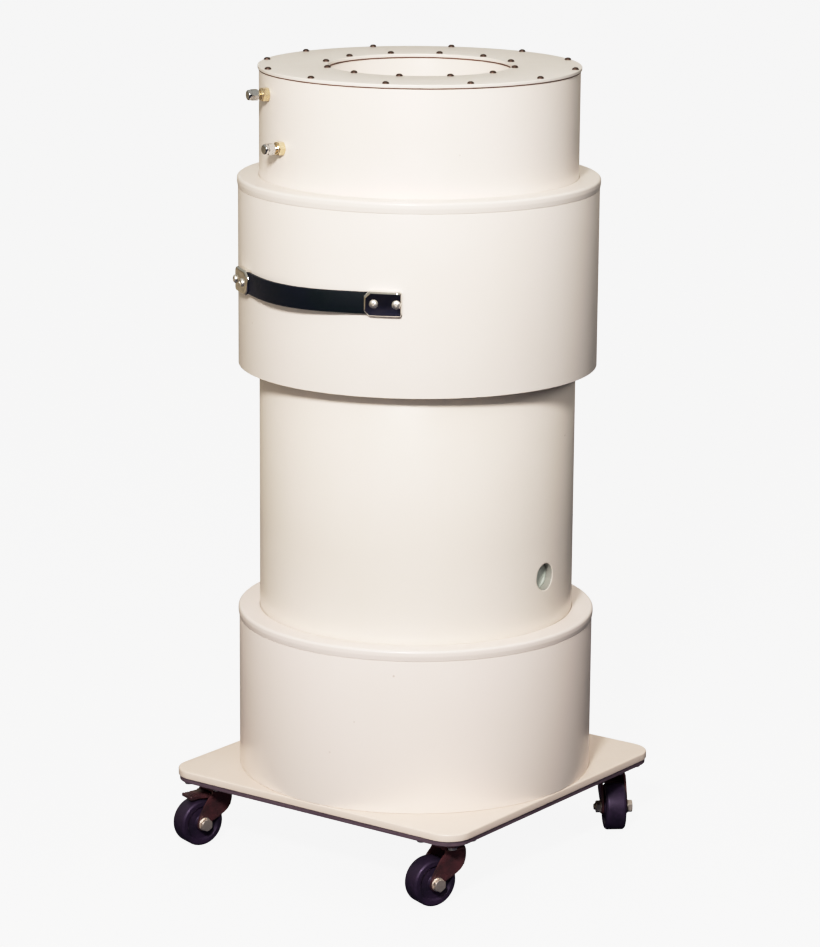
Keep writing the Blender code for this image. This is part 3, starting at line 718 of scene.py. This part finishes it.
# ---- cover screws ----
COVER_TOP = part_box("cover_plate")[1].z
COVER_SCREW_RINGS = (("cover_screws_outer", 0.174, 40.0), ("cover_screws_inner", 0.1065, 0.0))
COVER_SCREW_FIRST = -35.8
cover_screw = pan_head_mesh(0.0038, 0.0027)
for ring_name, ring_radius, first_twist in COVER_SCREW_RINGS:
    screws = []
    for k in range(12):
        spot = around(ring_radius, radians(COVER_SCREW_FIRST + 30.0 * k), COVER_TOP)
        twist = radians(17.0 * k + first_twist)
        screws.append((cover_screw, Matrix.Translation(spot) @ Matrix.Rotation(twist, 4, "Z")))
    extra(add_piece(ring_name, join_meshes(*screws), DARK_SCREW), "head")


# ---- filter cartridge and pail ----
cap_low, cap_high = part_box("filter_top_cap")
rim_z, groove_z, cap_bore = cap_high.z, cap_high.z - 0.002, OPENING_R + 0.004
top_cap = fillet([(cap_high.x, cap_low.z), (cap_high.x, rim_z), (0.14, rim_z), (0.1385, groove_z),
                  (0.124, groove_z), (0.1225, rim_z), (cap_bore, rim_z), (cap_bore, cap_low.z)],
                 [0.002, 0.002, 0.0005, 0.0005, 0.0005, 0.0005, 0.002, 0.001])
fine("filter_top_cap", turned_mesh(top_cap, 144))

foot_low, foot_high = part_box("filter_bottom_cap")
rim_z = foot_high.z
foot = fillet([(foot_high.x, rim_z - 0.008), (foot_high.x, rim_z), (0.12, rim_z),
               (0.12, rim_z - 0.012), (0.1335, foot_low.z), (0.136, foot_low.z),
               (0.136, rim_z - 0.01)], [0.002, 0.002, 0.002, 0.004, 0.0006, 0.0006, 0.003])
fine("filter_bottom_cap", turned_mesh(foot, 144))


def pleat_mesh(low, high, inner, outer, folds=112, thick=0.0009):
    """A closed sheet folded round the axis, with softly rounded folds."""
    loop_out, loop_in = [], []
    steps = folds * 10
    for k in range(steps):
        angle = turn_of(k, steps)
        wave = asin(0.985 * sin(folds * angle)) / (0.5 * pi)
        radius = (inner + outer) / 2.0 + (outer - inner) / 2.0 * wave
        loop_out.append(Vector(around(radius, angle, 0.0)[:2]))
    for k, here in enumerate(loop_out):
        along = loop_out[(k + 1) % steps] - loop_out[k - 1]
        normal = Vector((along.y, -along.x)).normalized()
        loop_in.append(here - normal * thick)
    verts = []
    for loop, height in ((loop_out, low), (loop_out, high), (loop_in, high), (loop_in, low)):
        verts += [(p.x, p.y, height) for p in loop]
    rows = index_rows(4, steps)
    return finish_mesh(verts, quads(rows + rows[:1]), 50.0)


media_low, media_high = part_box("filter_media")
fine("filter_media", pleat_mesh(media_low.z, media_high.z, 0.119, 0.1482))

pail_low, pail_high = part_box("dust_pail")
PAIL_R = pail_high.x
base_z, rim_z = pail_low.z, pail_high.z
pail = [(0.0, base_z + 0.0012), (0.11, base_z + 0.0012), (0.118, base_z + 0.0002),
        (PAIL_R - 0.01, base_z), (PAIL_R - 0.0018, rim_z - 0.003), (PAIL_R, rim_z - 0.003),
        (PAIL_R, rim_z), (PAIL_R - 0.0034, rim_z), (PAIL_R - 0.0044, rim_z - 0.01),
        (PAIL_R - 0.0125, base_z + 0.0022), (0.118, base_z + 0.0022), (0.11, base_z + 0.0034),
        (0.0, base_z + 0.0034)]
pail_edges = [0.0, 0.002, 0.002, 0.003, 0.0004, 0.0012, 0.0012, 0.001, 0.002, 0.003, 0.002,
              0.002, 0.0]
fine("dust_pail", turned_mesh(fillet(pail, pail_edges), 144))


# ---- strap handles ----
STRAP_THICK = 0.0035
STRAP_BOW = 0.009
STRAP_REST_R = SHELL_R + 0.0022
CAP_SPAN = 11.3              # degrees
CAP_HALF_TURN = 29.3         # degrees from the strap's middle to the cap's
CAP_HEIGHT = 0.0272
CAP_PROUD = 0.0085
CAP_SCREW_TURN = 3.35
CAP_SCREW_SHIFT = 0.9        # degrees from the cap's middle to the screws', away from the strap
CAP_CLIP = 0.0058
CAP_CLIP_SLOPE = 0.9
CAP_ROUND = 0.003
CAP_CORNER = 0.0025
POCKET_HALF = 0.0125
HANDLES = (("front_strap", -93.7), ("rear_strap", 86.3))


def strap_mesh(low, high, centre):
    """A flat strap with rounded edges, bowed out between its two ends."""
    middle, half = (low + high) / 2.0, (high - low) / 2.0
    tip = CAP_HALF_TURN - CAP_SPAN / 2.0 + 1.4
    section = fillet([(0.0, -half), (STRAP_THICK, -half), (STRAP_THICK, half), (0.0, half)],
                     [0.0008, 0.0014, 0.0014, 0.0008], 5)
    crown = [(r + (0.0003 * (1.0 - (z / half) ** 2) if r > STRAP_THICK / 2.0 else 0.0), z)
             for r, z in section]
    steps = 96
    verts = []
    for i in range(steps + 1):
        share = -1.0 + 2.0 * i / steps
        bow = STRAP_BOW * (1.0 - share ** 2) ** 2
        angle = radians(centre + share * tip)
        verts += [around(STRAP_REST_R + bow + r, angle, middle + z) for r, z in crown]
    return finish_mesh(verts, skin(index_rows(steps + 1, len(crown))), 40.0)


def end_cap_mesh(azimuth, toward, middle):
    """Chrome end cap, curved to the collar: crowned face, rounded rim, clipped strap side."""
    length = radians(CAP_SPAN) * (SHELL_R + CAP_PROUD)
    half_high = CAP_HEIGHT / 2.0
    samples = 40
    rings = [(0.0, 0.0003), (0.0, CAP_PROUD - CAP_ROUND)]
    rings += [(CAP_ROUND * (1.0 - cos(angle)), CAP_PROUD - CAP_ROUND * (1.0 - sin(angle)))
              for angle in quarter(8, 1)]
    verts = []

    def half_height(s, inside):
        """Half the cap's height at this place along it, with clipped and rounded ends."""
        limit = length / 2.0 - inside
        at_strap = limit - s * toward
        at_far = limit + s * toward
        high = half_high - inside
        if at_strap < CAP_CLIP:
            high -= (CAP_CLIP - max(at_strap, 0.0)) * CAP_CLIP_SLOPE
        if at_far < CAP_CORNER:
            rise = CAP_CORNER ** 2 - (CAP_CORNER - max(at_far, 0.0)) ** 2
            high -= CAP_CORNER - sqrt(max(0.0, rise))
        return high

    for inside, depth in rings:
        limit = length / 2.0 - inside
        line = [-limit * cos(pi * k / (samples - 1)) for k in range(samples)]
        upper = [(s, half_height(s, inside)) for s in line]
        for s, z in upper + [(s, -z) for s, z in reversed(upper)]:
            angle = radians(azimuth) + s / (SHELL_R + CAP_PROUD)
            crown = 0.0002 * (1.0 - (z / half_high) ** 2) if depth > CAP_PROUD - 0.0005 else 0.0
            verts.append(around(SHELL_R + depth + crown, angle, middle + z))
    rows = index_rows(len(rings), 2 * samples)
    faces = quads(rows)
    for row in (rows[0], rows[-1]):
        faces += [(row[k], row[k + 1], row[-2 - k], row[-1 - k]) for k in range(samples - 1)]
    return finish_mesh(verts, faces, 55.0)


def pocket_mesh(azimuth, toward, middle):
    """What the strap's tip takes out of an end cap."""
    start = azimuth + toward * CAP_SPAN / 2.0
    inner, outer = SHELL_R - 0.003, STRAP_REST_R + STRAP_THICK + 0.0008
    verts = []
    for k in range(7):
        angle = radians(start - toward * 1.8 + toward * 3.6 * k / 6)
        for reach, z in ((inner, -POCKET_HALF), (outer, -POCKET_HALF),
                         (outer, POCKET_HALF), (inner, POCKET_HALF)):
            verts.append(around(reach, angle, middle + z))
    return finish_mesh(verts, skin(index_rows(7, 4)))


strap_screw = pan_head_mesh(0.0048, 0.003, 0.002, 0.015)
for handle, centre in HANDLES:
    strap_low, strap_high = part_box(handle)
    strap_z = (strap_low.z + strap_high.z) / 2.0
    fine(handle, strap_mesh(strap_low.z, strap_high.z, centre))
    for side, turn, toward in (("left", -CAP_HALF_TURN, 1), ("right", CAP_HALF_TURN, -1)):
        cap = f"{handle}_cap_{side}"
        azimuth = centre + turn
        fine(cap, carve(end_cap_mesh(azimuth, toward, strap_z),
                        pocket_mesh(azimuth, toward, strap_z), 50.0))
        for number, offset in ((1, -CAP_SCREW_TURN), (2, CAP_SCREW_TURN)):
            place = radial(azimuth - toward * CAP_SCREW_SHIFT + offset,
                           SHELL_R + CAP_PROUD + 0.0002, strap_z)
            place = place @ Matrix.Rotation(radians(25.0 + 40.0 * number), 4, "Z")
            fine(f"{cap}_screw_{number}", strap_screw.copy(), LOOKS["zinc"], place)


# ---- air fittings ----
FITTINGS = (("upper_fitting", -121.7), ("lower_fitting", -110.1))


def thread_outline(radius, low, high, pitch=0.0009, depth=0.0003):
    """Ridges that read as a thread, as half an outline from low to high."""
    points = []
    count = int((high - low) / pitch)
    for k in range(count):
        z = low + (high - low) * k / count
        points += [(radius - depth, z), (radius, z + 0.5 * (high - low) / count)]
    return points + [(radius - depth, high)]


for fitting, azimuth in FITTINGS:
    low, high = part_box(f"{fitting}_nut")
    place = radial(azimuth, TUBE_R, (low.z + high.z) / 2.0)
    stem_end = -TUBE_WALL - 0.004
    barrel = [(0.0, 0.022), (0.003, 0.022), (0.004, 0.021)]
    barrel += thread_outline(0.0043, 0.0098, 0.021)[::-1]
    barrel += [(0.006, 0.0096), (0.0064, 0.009), (0.0064, 0.0074), (0.0, 0.0074)]
    stem = [(0.0, 0.001), (0.005, 0.001), (0.005, stem_end), (0.0, stem_end)]
    body_parts = (turned_mesh(barrel, 40, 30.0), hex_mesh(0.008, 0.0003, 0.008),
                  turned_mesh(stem, 40, 30.0))
    fine(f"{fitting}_body", join_meshes(*body_parts), LOOKS["brass"], place)
    end = turned_mesh(disc_outline(0.0058, 0.0199, 0.0245, 0.0003, 0.0022, 6), 40, 30.0)
    fine(f"{fitting}_nut", join_meshes(hex_mesh(0.0068, 0.0125, 0.02), end), GREY_END, place)


# ---- casters ----
LEG_GAP = 0.0125             # from the wheel's middle to the inside of a fork leg
LEG_THICK = 0.0025
LEG_MIDDLE = LEG_GAP + LEG_THICK / 2.0
LEG_BEND = 0.0038
CROWN_TOP = 0.065
BOSS_R = 0.0085
FORK_COLUMNS = 14
FORK_WEB = ((-0.0145, 0.0638), (-0.0145, 0.058), (-0.0145, 0.0515), (-0.0141, 0.047),
            (-0.0132, 0.0438))
FLANGE_THICK = 0.0025
WHEEL_HALF = [(0.0043, 0.012), (0.0085, 0.012), (0.0093, 0.0098), (0.0185, 0.0092),
              (0.02, 0.0117), (0.025, 0.0117), (0.027, 0.0095)]
WHEEL_EDGES = [0.0003, 0.001, 0.0012, 0.0012, 0.001, 0.002, 0.003]
WHEEL_OUTLINE = fillet(WHEEL_HALF + [(r, -z) for r, z in WHEEL_HALF[::-1]],
                       WHEEL_EDGES + WHEEL_EDGES[::-1], 5)


def smooth_line(points, count=160):
    """Catmull-Rom through the points."""
    points = [np.array(p) for p in points]
    ends = [2 * points[0] - points[1]] + points + [2 * points[-1] - points[-2]]
    out = []
    spans = len(points) - 1
    for i in range(count):
        at = spans * i / (count - 1)
        k = min(int(at), spans - 1)
        t = at - k
        a, b, c, d = ends[k:k + 4]
        out.append(0.5 * (2 * b + (c - a) * t + (2 * a - 5 * b + 4 * c - d) * t * t
                          + (3 * b - a - 3 * c + d) * t ** 3))
    return np.array(out)


def fork_mesh(trail, axle_z):
    """One pressed-steel strip: leg, bend, crown, bend, leg, with a web across its front."""
    lead = smooth_line([(-0.0155, 0.0655), (-0.016, 0.056), (-0.0148, 0.048), (-0.01, 0.04),
                        (0.0000, 0.0335), (0.009, 0.0295), (trail - BOSS_R, axle_z - 0.0002)])
    back = smooth_line([(0.0082, 0.0655), (0.0105, 0.06), (0.0165, 0.053), (0.0225, 0.044),
                        (0.0272, 0.035), (trail + BOSS_R, axle_z - 0.0002)])

    def limits(z):
        if z < axle_z:
            half = sqrt(max(BOSS_R ** 2 - (axle_z - z) ** 2, 0.0)) + 0.0002
            return trail - half, trail + half
        return [float(np.interp(z, line[::-1, 1], line[::-1, 0])) for line in (lead, back)]

    crown_z = CROWN_TOP - LEG_THICK / 2.0
    path = [(-LEG_MIDDLE, axle_z - BOSS_R * cos(angle)) for angle in quarter(6)]
    path += [(-LEG_MIDDLE, axle_z + (crown_z - LEG_BEND - axle_z) * k / 24) for k in range(1, 25)]
    path += [(-LEG_MIDDLE + LEG_BEND * (1.0 - cos(angle)),
              crown_z - LEG_BEND + LEG_BEND * sin(angle)) for angle in quarter(6, 1)]
    path += [(0.0, crown_z)]
    path += [(-y, z) for y, z in path[-2::-1]]
    shares = range(FORK_COLUMNS + 1)
    verts = []
    for y, z in path:
        first, second = limits(z)
        verts += [(first + (second - first) * c / FORK_COLUMNS, y, z) for c in shares]
    web_start = len(verts)
    for x, z in FORK_WEB:
        verts += [(x, LEG_MIDDLE * (2.0 * c / FORK_COLUMNS - 1.0), z) for c in shares]
    faces = quads(index_rows(len(path), len(shares)), False)
    faces += quads(index_rows(len(FORK_WEB), len(shares), web_start), False)
    return finish_mesh(verts, faces, 60.0)


def thicken(obj, thick, edge):
    assign(obj.modifiers.new("sheet", "SOLIDIFY"), thickness=thick, offset=0.0,
           use_even_offset=True)
    assign(obj.modifiers.new("edges", "BEVEL"), width=edge, segments=3, limit_method="ANGLE",
           angle_limit=radians(50.0), harden_normals=True)


def pedal_mesh(x, z):
    """Foot pedal on a hinge at this place: a tongue with a turned-up lip and three grip ribs."""
    loop = [(x - 0.003, z - 0.0022), (x + 0.001, z - 0.003), (0.024, 0.0566), (0.035, 0.056),
            (0.036, 0.0572), (0.036, 0.06), (0.0345, 0.0606), (0.0325, 0.0598),
            (0.0312, 0.0606), (0.0296, 0.0598), (0.0283, 0.0606), (0.0267, 0.0598),
            (0.0252, 0.0606), (0.0225, 0.0606),
            (x + 0.001, z + 0.003), (x - 0.0028, z + 0.002)]
    loop = fillet(loop, [0.002, 0.002, 0.004, 0.0008, 0.0008, 0.001] + [0.0004] * 7
                  + [0.002, 0.002, 0.002])
    mesh = slab_mesh(loop, -0.0105, 0.0105, 0.0008, 0.0008, 3, 45.0)
    mesh.transform(Matrix.Rotation(radians(90.0), 4, "X"))
    return mesh


def build_caster(tag, braked):
    pivot = Vector(JOINTS[f"{tag}_swivel"]["pos_m"])
    axle = Vector(JOINTS[f"{tag}_roll"]["pos_m"])
    turn = atan2(axle.y - pivot.y, axle.x - pivot.x)
    trail = hypot(axle.x - pivot.x, axle.y - pivot.y)
    mount = Matrix.Translation((pivot.x, pivot.y, 0.0))
    swivel = mount @ Matrix.Rotation(turn, 4, "Z")
    on_axle = (swivel @ Matrix.Translation((trail, 0.0, axle.z))
               @ Matrix.Rotation(radians(-90.0), 4, "X"))

    low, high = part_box(f"{tag}_plate")
    top, under = high.z, high.z - FLANGE_THICK
    half_x, half_y = (high.x - low.x) / 2.0, (high.y - low.y) / 2.0
    flange = slab_mesh(rounded_plate(half_x, half_y, 0.006, 6), under, top, 0.0004, 0.0007)
    race = fillet([(0.0, top - 0.0022), (0.0195, top - 0.0022), (0.0178, 0.069), (0.0165, 0.0653),
                   (0.0125, 0.0653), (0.0, 0.0653)], [0.0, 0.0004, 0.0016, 0.0014, 0.0006, 0.0])
    rivet = fillet([(0.0, 0.0655), (0.0044, 0.0655), (0.0044, 0.0617), (0.0066, 0.0617),
                    (0.006, 0.0595), (0.0, 0.059)], [0.0, 0.0, 0.0002, 0.0004, 0.0012, 0.0])
    fine(f"{tag}_plate", join_meshes(flange, turned_mesh(race, 64), turned_mesh(rivet, 32)),
         LOOKS["fork_steel"], mount)

    bolt_head = hex_mesh(0.0052, -0.0036, 0.0, True, False)
    washer = turned_mesh(disc_outline(0.0062, -0.0009, 0.0, 0.0003, 0.0), 32)
    bolts = []
    for sx in (-1, 1):
        for sy in (-1, 1):
            spot = Matrix.Translation((sx * (half_x - 0.0072), sy * (half_y - 0.0068), under))
            twist = Matrix.Rotation(sx * 0.4 + sy * 0.7, 4, "Z")
            bolts += [(bolt_head, spot @ twist), (washer, spot)]
    extra(add_piece(f"{tag}_plate_bolts", join_meshes(*bolts), LOOKS["zinc"], mount),
          "root")

    thicken(fine(f"{tag}_fork", fork_mesh(trail, axle.z), LOOKS["fork_steel"], swivel),
            LEG_THICK, 0.0006)
    fine(f"{tag}_wheel", turned_mesh(WHEEL_OUTLINE, 96, 40.0), LOOKS["wheel_rubber"], on_axle)

    face = LEG_GAP + LEG_THICK + 0.0003
    shank_end = -(face + 0.0085)
    shank = [(0.0, face), (0.0038, face), (0.0038, -face)]
    shank += thread_outline(0.004, shank_end + 0.0008, -face)[::-1]
    shank += [(0.003, shank_end), (0.0, shank_end)]
    washer = turned_mesh(disc_outline(0.0078, face, face + 0.001, 0.0003, 0.0003), 40)
    head = hex_mesh(0.0075, face + 0.0008, face + 0.006, False, True)
    fine(f"{tag}_axle_bolt", join_meshes(head, washer, turned_mesh(shank, 32, 30.0)),
         BOLT_LOOK, on_axle)
    nut = hex_mesh(0.0075, -(face + 0.006), -(face + 0.0006), True, False, 0.0043)
    nut_ring = fillet([(0.0043, -face - 0.0008), (0.0078, -face - 0.0008), (0.0078, -face),
                       (0.0043, -face)], 0.0002)
    fine(f"{tag}_axle_nut", join_meshes(nut, turned_mesh(nut_ring, 40)), BOLT_LOOK, on_axle)

    if braked:
        hinge = swivel.inverted() @ Vector(JOINTS[f"{tag}_brake"]["pos_m"])
        pin = turned_mesh(disc_outline(0.0018, -0.016, 0.016, 0.0003, 0.0003), 24)
        lay = (Matrix.Translation((hinge.x, 0.0, hinge.z))
               @ Matrix.Rotation(radians(90.0), 4, "X"))
        fine(f"{tag}_brake_pedal", join_meshes(pedal_mesh(hinge.x, hinge.z), (pin, lay)),
             LOOKS["fork_steel"], swivel)


for tag in ("caster_front_right", "caster_front_left", "caster_rear_right", "caster_rear_left"):
    build_caster(tag, tag == "caster_front_left")


# ---- studio ----
def stage_look(name, colour, glow):
    """Pale studio floor: an even tone with a slight mottle, mostly its own glow."""
    paint = Paint(name, Roughness=0.9, Specular_IOR_Level=0.0,
                  Emission_Color=(1.0, 1.0, 1.0, 1.0), Emission_Strength=glow)
    cloud = paint.spread(paint.noise(0.8, 3.0), 0.3, 0.7)
    base = paint.mix(cloud, tuple(0.96 * c for c in colour), colour)
    return paint.done(base)


def room_look(name):
    """Dark room floor, pale and warm on the left and behind, that only reflections see."""
    paint = Paint(name, Roughness=0.9, Specular_IOR_Level=0.0)
    side = paint.spread(paint.axis("X"), -0.4, -1.6)
    colour = paint.mix(side, (0.012, 0.013, 0.03), (0.55, 0.46, 0.34))
    rug = paint.spread(paint.noise(2.0, 3.0), 0.4, 0.7, 0.0, 0.4)
    return paint.done(paint.mix(rug, colour, (0.05, 0.04, 0.05)))


def sweep_mesh(flat, wall, bend=4.0, steps=96):
    """A round floor that curves up into a wall."""
    outline = [(flat, 0.0)]
    outline += [(flat + bend * sin(angle), bend * (1.0 - cos(angle)))
                for angle in quarter(12, 1)]
    outline.append((flat + bend, wall))
    verts = [(0.0, 0.0, 0.0)]
    for r, z in outline:
        verts += [around(r, turn_of(k, steps), z) for k in range(steps)]
    faces = [(0, 1 + k, 1 + (k + 1) % steps) for k in range(steps)]
    faces += [(a, d, c, b) for a, b, c, d in quads(index_rows(len(outline), steps, 1))]
    mesh = bpy.data.meshes.new("studio")
    mesh.from_pydata(verts, [], faces)
    mesh.shade_smooth()
    return mesh


floor = add_piece("studio_floor", sweep_mesh(20.0, 22.0),
                  stage_look("studio_floor", (0.1, 0.1, 0.1), 0.945))
assign(floor, visible_diffuse=False, visible_glossy=False, visible_shadow=False)
dark_floor = add_piece("studio_dark_floor", sweep_mesh(12.0, 4.2), room_look("studio_dark_floor"),
                       Matrix.Translation((0.0, 0.0, -0.002)))
assign(dark_floor, visible_camera=False, visible_shadow=False)


def light_from(azimuth, elevation):
    """Direction towards a light. The azimuth counts from -Y towards +X, as the camera's does."""
    a, e = radians(azimuth), radians(elevation)
    return Vector((sin(a) * cos(e), -cos(a) * cos(e), sin(e)))


def add_light(name, kind, azimuth, elevation, energy, colour):
    obj = add_object(name, assign(bpy.data.lights.new(name, kind), energy=energy, color=colour))
    turn = light_from(azimuth, elevation).to_track_quat("Z", "Y")
    return assign(obj, rotation_mode="QUATERNION", rotation_quaternion=turn)


def disk_light(name, azimuth, elevation, distance, strength, size, height=0.55):
    """A round lamp aimed at the axis at this height; strength is the irradiance there."""
    lamp = add_light(name, "AREA", azimuth, elevation, strength * pi * distance ** 2,
                     (1.0, 0.985, 0.97))
    assign(lamp.data, shape="DISK", size=size)
    place = Vector((0.0, 0.0, height)) + light_from(azimuth, elevation) * distance
    return assign(lamp, location=place, visible_camera=False)


disk_light("key", 28.0, 28.0, 2.7, 2.75, 0.36)
disk_light("side", 112.0, 20.0, 2.0, 0.52, 0.8, 0.95).visible_glossy = False
for name, azimuth, elevation, energy, spread in (("low", 8.0, 1.0, 0.42, 40.0),
                                                 ("back", 216.0, 9.0, 2.0, 20.0)):
    sun = add_light(name, "SUN", azimuth, elevation, energy, (1.0, 0.985, 0.96))
    sun.data.angle = radians(spread)
    sun.visible_glossy = False

world = bpy.data.worlds.new("studio")
scene.world = world
world.use_nodes = True
tree = world.node_tree
coords = tree.nodes.new("ShaderNodeTexCoord")
split = tree.nodes.new("ShaderNodeSeparateXYZ")
ramp = tree.nodes.new("ShaderNodeValToRGB")
tree.links.new(coords.outputs["Generated"], split.inputs["Vector"])
tree.links.new(split.outputs["Z"], ramp.inputs["Fac"])
for stop, place, colour in zip(ramp.color_ramp.elements, (0.0, 0.8),
                               ((0.16, 0.158, 0.132, 1.0), (0.37, 0.36, 0.33, 1.0))):
    stop.position, stop.color = place, colour
tree.links.new(ramp.outputs["Color"], tree.nodes["Background"].inputs["Color"])
tree.nodes["Background"].inputs["Strength"].default_value = 1.0

TONES = ((0.0, 0.0), (0.12, 0.155), (0.26, 0.36), (0.42, 0.57), (0.6, 0.73), (0.8, 0.85),
         (1.0, 0.925))
view = assign(scene.view_settings, view_transform="Standard", look="None",
              use_curve_mapping=True)
tone_curve = view.curve_mapping.curves[3]
for share, level in TONES[1:-1]:
    tone_curve.points.new(share, level)
tone_curve.points[-1].location = TONES[-1]
view.curve_mapping.update()


# ---- camera ----
CAMERA_AZIMUTH = radians(36.163)
CAMERA_DISTANCE = 3.9398
CAMERA_HEIGHT = 1.36665
CAMERA_PITCH = radians(13.4215)
CAMERA_PAN = radians(0.1103)
CAMERA_ROLL = radians(0.4261)
CAMERA_LENS = 156.85

spot = Vector((CAMERA_DISTANCE * sin(CAMERA_AZIMUTH),
               -CAMERA_DISTANCE * cos(CAMERA_AZIMUTH), CAMERA_HEIGHT))
heading = CAMERA_AZIMUTH + CAMERA_PAN
level = Vector((-sin(heading), cos(heading), 0.0))
forward = level * cos(CAMERA_PITCH) - Vector((0.0, 0.0, sin(CAMERA_PITCH)))
right = Vector((level.y, -level.x, 0.0))
above = right.cross(forward)
across = right * cos(CAMERA_ROLL) + above * sin(CAMERA_ROLL)
up = above * cos(CAMERA_ROLL) - right * sin(CAMERA_ROLL)
lens = assign(bpy.data.cameras.new("camera"), sensor_fit="HORIZONTAL", sensor_width=36.0,
              lens=CAMERA_LENS, clip_start=0.05, clip_end=100.0)
camera = add_object("camera", lens)
turned = Matrix((across, up, -forward)).transposed().to_4x4()
camera.matrix_world = Matrix.Translation(spot) @ turned
scene.camera = camera
